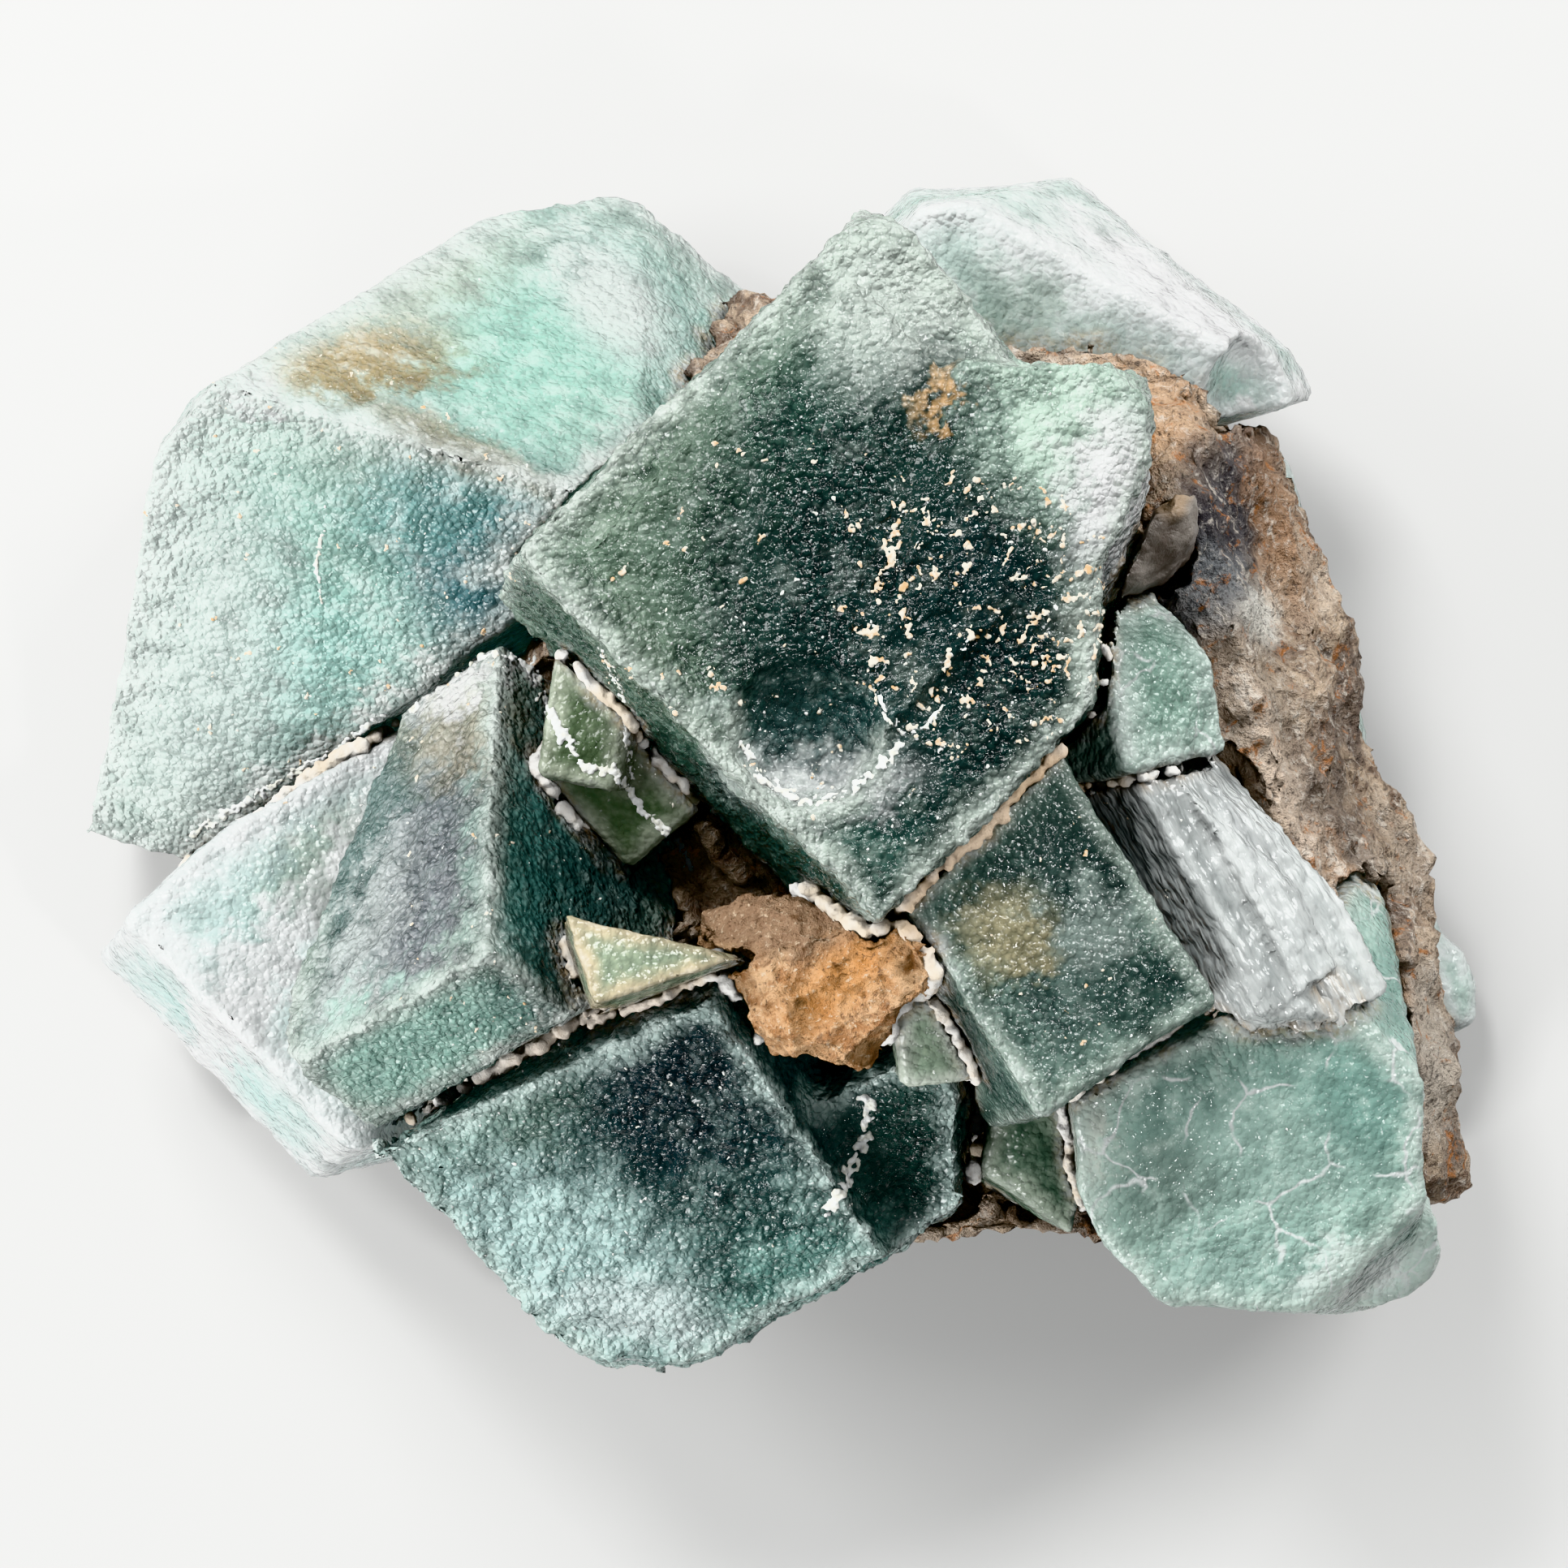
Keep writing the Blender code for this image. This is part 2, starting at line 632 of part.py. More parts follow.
def build():
    clear_scene()
    specimen = collection("fluorite specimen")
    helpers = collection("cutters")

    blue_green = finish_colour("blue-green fluorite", (0.33, 0.62, 0.55), 0.3, 0.85, 1.43)
    pale_green = finish_colour("pale fluorite", (0.70, 0.82, 0.76), 0.3, 0.85, 1.43)
    ochre = finish_colour("ochre carbonate", (0.55, 0.33, 0.18), 0.85)
    smoky = finish_colour("smoky quartz", (0.30, 0.26, 0.22), 0.35, 0.5, 1.54)
    brown = finish_colour("brown vein rock", (0.38, 0.28, 0.22), 0.9)

    room_for = {name: joined_parts(name, helpers, SEAM) for name in CRYSTALS}
    for name, cubes in CRYSTALS.items():
        crystal = new_object(name, crystal_solid(cubes[0]), specimen)
        crystal.data.materials.append(pale_green if name in PALE else blue_green)
        for helper in joined_parts(name, helpers, 0.0):
            combine(crystal, helper, "UNION")
        for number, (x, y, z, radius) in enumerate(SHELL_BREAKS.get(name, ())):
            ball = bmesh.new()
            bmesh.ops.create_icosphere(ball, subdivisions=SHELL_FINENESS, radius=radius)
            bmesh.ops.translate(ball, vec=(x, y, z), verts=ball.verts)
            combine(crystal, new_helper(f"shell_{name}_{number}", ball, helpers), "DIFFERENCE")
        for neighbour in STOPS_AT.get(name, ()):
            for helper in room_for[neighbour]:
                combine(crystal, helper, "DIFFERENCE")

    block = new_object("ochre_block", lump_solid(OCHRE_BLOCK), specimen)
    block.data.materials.append(ochre)
    for neighbour in OCHRE_STOPS_AT:
        for helper in room_for[neighbour]:
            combine(block, helper, "DIFFERENCE")

    chip = new_object("smoky_chip", lump_solid(SMOKY_CHIP), specimen)
    chip.data.materials.append(smoky)
    for neighbour in SMOKY_STOPS_AT:
        for helper in room_for[neighbour]:
            combine(chip, helper, "DIFFERENCE")

    rim = new_object("fluorite_rim", lump_solid(FLUORITE_RIM[0]), specimen)
    rim.data.materials.append(pale_green)
    for number, lump in enumerate(FLUORITE_RIM[1:], 1):
        combine(rim, new_helper(f"join_fluorite_rim_{number}", lump_solid(lump), helpers), "UNION")

    rock = new_object("vein_rock", lump_solid(VEIN_ROCK), specimen)
    rock.data.materials.append(brown)
    for number, lump in enumerate((OCHRE_BLOCK, SMOKY_CHIP, *FLUORITE_RIM)):
        combine(rock, new_helper(f"room_lump_{number}", lump_solid(lump, ROUGH_SEAM), helpers), "DIFFERENCE")
    for name in CRYSTALS:
        for helper in room_for[name]:
            combine(rock, helper, "DIFFERENCE")


build()
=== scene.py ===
"""Fluorite specimen on its rock: the finish of every crystal, the rock, the druse in the seams and
the crumbs on the faces, dressed over the solids of the part."""

import json
import math
import random

import bmesh
import bpy
import numpy as np
from mathutils import Euler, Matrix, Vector
from mathutils.bvhtree import BVHTree
from mathutils.kdtree import KDTree

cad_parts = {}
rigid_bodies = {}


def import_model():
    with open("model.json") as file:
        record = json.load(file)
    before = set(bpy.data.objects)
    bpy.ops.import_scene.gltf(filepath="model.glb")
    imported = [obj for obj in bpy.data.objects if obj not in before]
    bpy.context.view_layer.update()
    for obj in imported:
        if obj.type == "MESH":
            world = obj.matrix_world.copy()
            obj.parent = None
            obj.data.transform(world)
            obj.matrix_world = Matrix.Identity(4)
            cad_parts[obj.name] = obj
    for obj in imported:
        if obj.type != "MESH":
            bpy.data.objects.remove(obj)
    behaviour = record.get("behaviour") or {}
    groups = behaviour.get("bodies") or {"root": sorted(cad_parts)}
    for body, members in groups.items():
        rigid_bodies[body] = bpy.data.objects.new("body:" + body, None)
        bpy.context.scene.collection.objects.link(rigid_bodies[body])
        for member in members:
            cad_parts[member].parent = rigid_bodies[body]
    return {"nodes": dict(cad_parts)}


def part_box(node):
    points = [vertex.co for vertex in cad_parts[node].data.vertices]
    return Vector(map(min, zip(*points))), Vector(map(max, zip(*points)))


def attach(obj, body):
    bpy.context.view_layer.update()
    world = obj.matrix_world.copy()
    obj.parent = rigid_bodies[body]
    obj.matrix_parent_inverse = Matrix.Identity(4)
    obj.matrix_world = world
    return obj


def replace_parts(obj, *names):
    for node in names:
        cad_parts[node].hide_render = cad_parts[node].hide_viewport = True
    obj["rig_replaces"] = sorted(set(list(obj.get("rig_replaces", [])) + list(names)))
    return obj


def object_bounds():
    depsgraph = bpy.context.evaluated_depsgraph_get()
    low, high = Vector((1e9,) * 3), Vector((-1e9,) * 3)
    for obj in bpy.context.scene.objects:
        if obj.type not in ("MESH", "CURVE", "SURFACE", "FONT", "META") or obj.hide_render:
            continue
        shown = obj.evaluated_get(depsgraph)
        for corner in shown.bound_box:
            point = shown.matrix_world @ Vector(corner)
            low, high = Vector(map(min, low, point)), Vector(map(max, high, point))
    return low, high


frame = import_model()
solid_box = [list(corner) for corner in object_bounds()]
MM = 0.001


# The rock that carries the crystals: brown vein stone with rust, cream and slate patches. It was
# broken out with the specimen, so its sides are ragged and its foot is one flat break.
def merged_copy(node, name):
    """A copy of a solid with its corners merged, ready to be worked."""
    bpy.ops.object.select_all(action="DESELECT")
    piece = bpy.data.objects.new(name, frame["nodes"][node].data.copy())
    bpy.context.scene.collection.objects.link(piece)
    piece.data.materials.clear()
    bpy.context.view_layer.objects.active = piece
    piece.select_set(True)
    bpy.ops.object.mode_set(mode="EDIT")
    bpy.ops.mesh.select_all(action="SELECT")
    bpy.ops.mesh.remove_doubles(threshold=0.002 * MM)
    bpy.ops.mesh.normals_make_consistent(inside=False)
    bpy.ops.object.mode_set(mode="OBJECT")
    return piece


def even_mesh(piece, voxel):
    """Gives the piece a mesh of even small faces that can take relief."""
    remesh = piece.modifiers.new("even", "REMESH")
    remesh.mode = "VOXEL"
    remesh.voxel_size = voxel * MM
    remesh.use_smooth_shade = True
    bpy.context.view_layer.objects.active = piece
    bpy.ops.object.modifier_apply(modifier="even")


def relieve(piece, kind, scale, depth, group="", level=0.7, contrast=2.0, **settings):
    """Works relief of one scale into the surface; level says how much of its depth goes inwards."""
    texture = bpy.data.textures.new(f"{piece.name} {kind} {scale}", kind)
    texture.noise_scale = scale * MM
    texture.contrast = contrast
    for key, value in settings.items():
        setattr(texture, key, value)
    relief = piece.modifiers.new("relief", "DISPLACE")
    relief.texture = texture
    relief.texture_coords = "LOCAL"
    relief.strength = depth * MM
    relief.mid_level = level
    relief.vertex_group = group
    bpy.context.view_layer.objects.active = piece
    bpy.ops.object.modifier_apply(modifier="relief")
    bpy.data.textures.remove(texture)


def weigh(piece, name, weight_at):
    """A vertex group whose weight is a function of the place in millimetres."""
    group = piece.vertex_groups.new(name=name)
    for vertex in piece.data.vertices:
        weight = min(1.0, max(0.0, weight_at(vertex.co / MM)))
        if weight > 0:
            group.add([vertex.index], weight, "REPLACE")


def keep_within(piece, box):
    """Trims relief that stands out of a box, given by its two corners."""
    low, high = (np.array(corner) for corner in box)
    places = np.empty(len(piece.data.vertices) * 3)
    piece.data.vertices.foreach_get("co", places)
    places = np.clip(places.reshape(-1, 3), low, high)
    piece.data.vertices.foreach_set("co", places.ravel())
    piece.data.update()


def finish(piece, material):
    """Gives a piece its material."""
    piece.data.materials.append(material)


def new_material(name):
    """A new material, its node tree, its shader and its object coordinates."""
    material = bpy.data.materials.new(name)
    material.use_nodes = True
    tree = material.node_tree
    shader = tree.nodes["Principled BSDF"]
    place = tree.nodes.new("ShaderNodeTexCoord").outputs["Object"]
    return material, tree, shader, place


def math_node(tree, operation, *values, clamp=False):
    """A sum on numbers or outputs of other nodes."""
    node = tree.nodes.new("ShaderNodeMath")
    node.operation = operation
    node.use_clamp = clamp
    for socket, value in zip(node.inputs, values):
        if isinstance(value, (int, float)):
            socket.default_value = value
        else:
            tree.links.new(value, socket)
    return node.outputs[0]


def noise_node(tree, place, size, detail=3.0, rough=0.55):
    """Noise whose lumps are about size millimetres across."""
    node = tree.nodes.new("ShaderNodeTexNoise")
    tree.links.new(place, node.inputs["Vector"])
    node.inputs["Scale"].default_value = 1000.0 / size
    node.inputs["Detail"].default_value = detail
    node.inputs["Roughness"].default_value = rough
    return node.outputs["Fac"]


def ramp_node(tree, value, low, high):
    """Zero below low, one above high, and smooth between."""
    node = tree.nodes.new("ShaderNodeMapRange")
    node.interpolation_type = "SMOOTHSTEP"
    tree.links.new(value, node.inputs["Value"])
    node.inputs["From Min"].default_value = low
    node.inputs["From Max"].default_value = high
    return node.outputs["Result"]


def mix_node(tree, amount, first, second, blend="MIX"):
    """Mixes two colours, each a colour or an output."""
    node = tree.nodes.new("ShaderNodeMix")
    node.data_type = "RGBA"
    node.blend_type = blend
    if isinstance(amount, (int, float)):
        node.inputs["Factor"].default_value = amount
    else:
        tree.links.new(amount, node.inputs["Factor"])
    for socket, colour in ((node.inputs[6], first), (node.inputs[7], second)):
        if isinstance(colour, tuple):
            socket.default_value = (*colour, 1.0)
        else:
            tree.links.new(colour, socket)
    return node.outputs[2]


def laid_over(tree, colour, tone, mask, share):
    """A tone laid over a colour where the mask is, at most by a share of one."""
    return mix_node(tree, math_node(tree, "MULTIPLY", mask, share), colour, tone)


def node_group(name, given, results):
    """An empty group of shader nodes: its tree, and the sockets that come in and go out."""
    tree = bpy.data.node_groups.new(name, "ShaderNodeTree")
    for direction, sockets in (("INPUT", given), ("OUTPUT", results)):
        for label, kind in sockets.items():
            tree.interface.new_socket(label, in_out=direction, socket_type=f"NodeSocket{kind}")
    return tree, tree.nodes.new("NodeGroupInput").outputs, tree.nodes.new("NodeGroupOutput").inputs


def placed(tree, group, **values):
    """The group in a material with its own values: numbers, colours, or outputs of other nodes."""
    node = tree.nodes.new("ShaderNodeGroup")
    node.node_tree = group
    for label, value in values.items():
        socket = node.inputs[label.replace("_", " ").capitalize()]
        if isinstance(value, bpy.types.NodeSocket):
            tree.links.new(value, socket)
        else:
            socket.default_value = (*value, 1.0) if socket.type == "RGBA" else value
    return node.outputs


def vector_node(tree, operation, first, second, third=None):
    """A sum on vectors, each three numbers or an output."""
    node = tree.nodes.new("ShaderNodeVectorMath")
    node.operation = operation
    for socket, value in zip(node.inputs, (first, second, third)):
        if isinstance(value, tuple):
            socket.default_value = value
        elif value is not None:
            tree.links.new(value, socket)
    return node.outputs["Value"] if operation == "LENGTH" else node.outputs["Vector"]


def patch_group():
    """A soft oval anywhere on the specimen, seen from above."""
    tree, given, result = node_group(
        "patch",
        {"Place": "Vector", "Middle": "Vector", "Spread": "Vector",
         "Turn": "Float", "Soft": "Float"},
        {"Mask": "Float"},
    )
    turned = tree.nodes.new("ShaderNodeVectorRotate")
    turned.rotation_type = "Z_AXIS"
    from_middle = vector_node(tree, "SUBTRACT", given["Place"], given["Middle"])
    tree.links.new(from_middle, turned.inputs["Vector"])
    tree.links.new(given["Turn"], turned.inputs["Angle"])
    scaled = vector_node(tree, "DIVIDE", turned.outputs[0], given["Spread"])
    flat = vector_node(tree, "MULTIPLY", scaled, (1.0, 1.0, 0.0))
    mask = tree.nodes.new("ShaderNodeMapRange")
    mask.interpolation_type = "SMOOTHSTEP"
    tree.links.new(vector_node(tree, "LENGTH", flat, None), mask.inputs["Value"])
    tree.links.new(math_node(tree, "ADD", 1.0, given["Soft"]), mask.inputs["From Min"])
    tree.links.new(math_node(tree, "SUBTRACT", 1.0, given["Soft"]), mask.inputs["From Max"])
    tree.links.new(mask.outputs["Result"], result["Mask"])
    return tree


PATCH = patch_group()


def patch(tree, place, middle, spread, turn=0.0, soft=0.5):
    """The mask of one oval: middle and half-widths in millimetres, turn in degrees."""
    return placed(
        tree,
        PATCH,
        place=place,
        middle=(middle[0] * MM, middle[1] * MM, 0.0),
        spread=(spread[0] * MM, spread[1] * MM, 1.0),
        turn=math.radians(-turn),
        soft=soft,
    )["Mask"]


def warped(tree, place, size, reach):
    """Coordinates shaken by up to reach millimetres, so that a border wanders."""
    node = tree.nodes.new("ShaderNodeTexNoise")
    tree.links.new(place, node.inputs["Vector"])
    node.inputs["Scale"].default_value = 1000.0 / size
    node.inputs["Detail"].default_value = 3.0
    centred = vector_node(tree, "SUBTRACT", node.outputs["Color"], (0.5, 0.5, 0.5))
    return vector_node(tree, "MULTIPLY_ADD", centred, (2 * reach * MM,) * 3, place)


def drawn_out(tree, place, heading, stretch):
    """Coordinates in which a pattern comes out long in one direction."""
    node = tree.nodes.new("ShaderNodeMapping")
    node.vector_type = "TEXTURE"
    tree.links.new(place, node.inputs["Vector"])
    node.inputs["Rotation"].default_value = (0.0, 0.0, math.radians(heading))
    node.inputs["Scale"].default_value = (stretch, 1.0, 1.0)
    return node.outputs["Vector"]


def bump_node(tree, height, distance, shader):
    """The finest relief, shaded only, as deep as distance millimetres."""
    bump = tree.nodes.new("ShaderNodeBump")
    bump.inputs["Distance"].default_value = distance * MM
    tree.links.new(height, bump.inputs["Height"])
    tree.links.new(bump.outputs["Normal"], shader.inputs["Normal"])


def rock_material():
    """Mottled stone: tan and brown ground, cream and slate patches, rust in the hollows."""
    material, tree, shader, place = new_material("vein rock, mottled")
    shaken = warped(tree, place, 2.6, 1.7)
    along = drawn_out(tree, shaken, -62.0, 2.2)
    streaks = noise_node(tree, along, 1.7, 5.0, 0.68)
    fine = noise_node(tree, place, 0.55, 4.0, 0.7)
    tan = ramp_node(tree, streaks, 0.34, 0.62)
    colour = mix_node(tree, tan, (0.18, 0.12, 0.085), (0.58, 0.45, 0.33))
    broad = noise_node(tree, shaken, 7.0, 2.0)
    colour = laid_over(tree, colour, (0.15, 0.115, 0.095), ramp_node(tree, broad, 0.52, 0.64), 0.75)
    colour = laid_over(tree, colour, (0.70, 0.58, 0.46), ramp_node(tree, broad, 0.46, 0.34), 0.5)
    for middle, spread, turn, tone, amount in (
        ((20.5, 21.5), (3.6, 3.2), -20.0, (0.66, 0.42, 0.25), 0.75),
        ((26.0, 15.6), (3.2, 5.8), -25.0, (0.055, 0.052, 0.06), 0.97),
        ((29.4, 15.0), (1.7, 5.6), 14.0, (0.44, 0.26, 0.15), 0.75),
        ((24.2, 10.8), (3.0, 2.6), 0.0, (0.24, 0.26, 0.27), 0.7),
        ((28.0, 9.4), (1.5, 1.7), 0.0, (0.88, 0.86, 0.78), 0.8),
        ((27.4, 4.5), (2.4, 4.6), 30.0, (0.40, 0.33, 0.26), 0.6),
        ((30.0, -2.0), (1.4, 9.0), 27.0, (0.84, 0.68, 0.54), 0.65),
        ((33.6, -4.6), (1.8, 6.0), 27.0, (0.16, 0.13, 0.11), 0.65),
        ((35.0, -11.0), (1.2, 7.0), 24.0, (0.66, 0.38, 0.20), 0.6),
        ((38.2, -17.0), (2.6, 5.0), 10.0, (0.62, 0.56, 0.48), 0.7),
    ):
        mask = patch(tree, shaken, middle, spread, turn, 0.55)
        colour = laid_over(tree, colour, tone, mask, amount)
    cream = ramp_node(tree, noise_node(tree, along, 1.2, 4.0, 0.7), 0.56, 0.66)
    colour = laid_over(tree, colour, (0.84, 0.76, 0.66), cream, 0.7)
    rust = ramp_node(tree, noise_node(tree, shaken, 1.9, 4.0, 0.72), 0.57, 0.68)
    colour = laid_over(tree, colour, (0.50, 0.20, 0.06), rust, 0.8)
    # Painted shade: the hollows of the fine relief are darkened nearly to black.
    pits = ramp_node(tree, fine, 0.46, 0.32)
    colour = laid_over(tree, colour, (0.055, 0.045, 0.04), pits, 0.75)
    colour = laid_over(tree, colour, (0.86, 0.80, 0.72), ramp_node(tree, fine, 0.50, 0.78), 0.6)
    tree.links.new(colour, shader.inputs["Base Color"])
    shader.inputs["Roughness"].default_value = 0.72
    height = math_node(tree, "ADD", fine, streaks)
    bump_node(tree, height, 0.9, shader)
    return material


rock = merged_copy("vein_rock", "vein_rock_broken")
even_mesh(rock, 0.44)
weigh(rock, "above the foot", lambda at: (at.z - 0.4) / 1.5)
relieve(rock, "CLOUDS", 5.0, 1.0, "above the foot", noise_depth=3)
relieve(rock, "VORONOI", 2.6, 0.6, "above the foot", contrast=1.2, weight_1=-1.0, weight_2=1.0)
relieve(rock, "CLOUDS", 1.1, 0.6, "above the foot", noise_depth=3)
keep_within(rock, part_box("vein_rock"))
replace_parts(rock, "vein_rock")
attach(rock, "root")
finish(rock, rock_material())


# The block of ochre carbonate in the middle of the gap: granular, brown on top and orange where it
# broke, with pits along its lower side.
def ochre_material():
    material, tree, shader, place = new_material("ochre carbonate, granular")
    shaken = warped(tree, place, 1.4, 0.8)
    grains = noise_node(tree, place, 0.38, 4.0, 0.75)
    broad = noise_node(tree, shaken, 1.5, 4.0, 0.7)
    tan = ramp_node(tree, broad, 0.36, 0.64)
    colour = mix_node(tree, tan, (0.40, 0.19, 0.075), (0.78, 0.50, 0.28))
    top = patch(tree, shaken, (-0.6, -7.6), (6.6, 2.7), -4.0, 0.35)
    colour = laid_over(tree, colour, (0.34, 0.22, 0.14), top, 0.85)
    orange = patch(tree, shaken, (3.4, -11.2), (3.6, 1.6), 40.0, 0.7)
    colour = laid_over(tree, colour, (0.72, 0.33, 0.10), orange, 0.7)
    colour = mix_node(tree, ramp_node(tree, grains, 0.56, 0.70), colour, (0.88, 0.70, 0.50))
    # Painted shade: the hollows of the grain relief are darkened.
    pits = ramp_node(tree, grains, 0.44, 0.32)
    colour = laid_over(tree, colour, (0.12, 0.06, 0.03), pits, 0.85)
    hollows = ramp_node(tree, noise_node(tree, shaken, 1.1, 2.0), 0.40, 0.30)
    colour = laid_over(tree, colour, (0.16, 0.075, 0.03), hollows, 0.7)
    tree.links.new(colour, shader.inputs["Base Color"])
    shader.inputs["Roughness"].default_value = 0.62
    bump_node(tree, math_node(tree, "ADD", grains, broad), 0.7, shader)
    return material


ochre = merged_copy("ochre_block", "ochre_block_granular")
even_mesh(ochre, 0.22)
relieve(ochre, "CLOUDS", 2.4, 0.5, noise_depth=1)
relieve(ochre, "VORONOI", 1.5, 0.42, contrast=1.4, weight_1=-1.0, weight_2=1.0)
relieve(ochre, "CLOUDS", 0.6, 0.28, noise_depth=2)
keep_within(ochre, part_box("ochre_block"))
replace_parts(ochre, "ochre_block")
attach(ochre, "root")
finish(ochre, ochre_material())


# The crystals: clear fluorite whose faces were etched to a fine frost. Each has its own zoning, a
# pale skin along the edges and a deeper blue-green core. They grew into each other.
def etched_crystal(
    node, voxel, undulation=0.28, peel=0.20, pits=0.16, rough_zone=None, rough_depth=0.0,
    swell=0.1, bites=(), layer_above=None,
):
    """A crystal with an etched skin, and how far each point of it lies from a sharp edge.
    bites are balls taken out of it, rough_zone says where the etch left deep scallops, and
    layer_above says which of its edges belong to a thin growth layer and make no pale border."""
    piece = merged_copy(node, f"{node}_etched")
    for x, y, z, radius in bites:
        bpy.ops.object.select_all(action="DESELECT")
        bpy.ops.mesh.primitive_ico_sphere_add(
            subdivisions=4, radius=radius * MM, location=(x * MM, y * MM, z * MM)
        )
        ball = bpy.context.object
        bite = piece.modifiers.new("bite", "BOOLEAN")
        bite.operation = "DIFFERENCE"
        bite.object = ball
        bpy.context.view_layer.objects.active = piece
        bpy.ops.object.modifier_apply(modifier="bite")
        bpy.data.objects.remove(ball)
    sharp = []
    least_angle, spacing = math.radians(24.0), 0.4 * MM
    shape = bmesh.new()
    shape.from_mesh(piece.data)
    for edge in shape.edges:
        if len(edge.link_faces) == 2 and edge.calc_face_angle_signed() > least_angle:
            start, end = (corner.co.copy() for corner in edge.verts)
            if layer_above and layer_above((start + end) / 2 / MM):
                continue
            count = max(1, int((end - start).length / spacing))
            sharp += [start.lerp(end, step / count) for step in range(count + 1)]
    shape.free()
    even_mesh(piece, voxel)
    near = KDTree(len(sharp))
    for number, point in enumerate(sharp):
        near.insert(point, number)
    near.balance()
    away = [near.find(vertex.co)[2] / MM for vertex in piece.data.vertices]
    if rough_zone:
        weigh(piece, "rough", rough_zone)
    relieve(piece, "CLOUDS", 7.0, undulation, noise_depth=1)
    relieve(piece, "CLOUDS", 1.6, peel, noise_depth=2)
    relieve(piece, "VORONOI", 0.95, pits, weight_1=-1.0, weight_2=1.0)
    if rough_zone:
        relieve(piece, "VORONOI", 2.2, rough_depth, "rough", weight_1=-1.0, weight_2=1.0)
        relieve(piece, "CLOUDS", 0.9, rough_depth * 0.35, "rough", noise_depth=2)
    fill_out = piece.modifiers.new("fill out", "DISPLACE")
    fill_out.strength = swell * MM
    fill_out.mid_level = 0.0
    bpy.ops.object.modifier_apply(modifier="fill out")
    keep_within(piece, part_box(node))
    piece.data.attributes.new("from_edge", "FLOAT", "POINT").data.foreach_set("value", away)
    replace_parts(piece, node)
    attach(piece, "root")
    return piece


def skin_group():
    """The etched skin: slow clouds, fine grain, where it is etched deepest, and its relief of small
    domes with two random values for each."""
    tree, given, result = node_group(
        "etched skin",
        {"Place": "Vector"},
        {"Cloud": "Float", "Grain": "Float", "Etched": "Float", "Height": "Float", "Dome": "Float",
         "First": "Float", "Second": "Float"},
    )
    place = given["Place"]
    cloud = noise_node(tree, place, 2.2, 3.0, 0.72)
    grain = noise_node(tree, place, 0.55, 2.0, 0.66)
    shaken = vector_node(tree, "MULTIPLY_ADD", grain, (0.3 * MM, 0.24 * MM, 0.2 * MM), place)
    domes = tree.nodes.new("ShaderNodeTexVoronoi")
    domes.inputs["Scale"].default_value = 1000.0 / 0.44
    tree.links.new(shaken, domes.inputs["Vector"])
    split = tree.nodes.new("ShaderNodeSeparateColor")
    tree.links.new(domes.outputs["Color"], split.inputs["Color"])
    domed = math_node(tree, "MULTIPLY", domes.outputs["Distance"], 0.8)
    height = math_node(tree, "SUBTRACT", 1.05, math_node(tree, "MULTIPLY_ADD", grain, 0.9, domed))
    for label, value in (
        ("Cloud", cloud),
        ("Grain", grain),
        ("Etched", ramp_node(tree, noise_node(tree, place, 5.0, 1.0), 0.40, 0.58)),
        ("Height", height),
        ("Dome", domes.outputs["Distance"]),
        ("First", split.outputs["Red"]),
        ("Second", split.outputs["Green"]),
    ):
        tree.links.new(value, result[label])
    return tree


def zoning_group():
    """The growth zones from the edge of a face to its middle, wandering with the clouds."""
    tree, given, result = node_group(
        "growth zones",
        {"Edge": "Float", "Cloud": "Float", "Band": "Float", "Core": "Color", "Body": "Color"},
        {"Colour": "Color", "Outer": "Float", "Ridge": "Float"},
    )
    share = math_node(tree, "DIVIDE", given["Edge"], given["Band"])
    wander = math_node(tree, "MULTIPLY_ADD", given["Cloud"], -1.7, share)
    deep = ramp_node(tree, wander, 0.2, 2.6)
    tree.links.new(mix_node(tree, deep, given["Body"], given["Core"]), result["Colour"])
    tree.links.new(ramp_node(tree, wander, 0.5, -0.9), result["Outer"])
    # The thin line right at a sharp edge: partly frost, partly painted highlight.
    tree.links.new(ramp_node(tree, wander, -0.55, -1.15), result["Ridge"])
    return tree


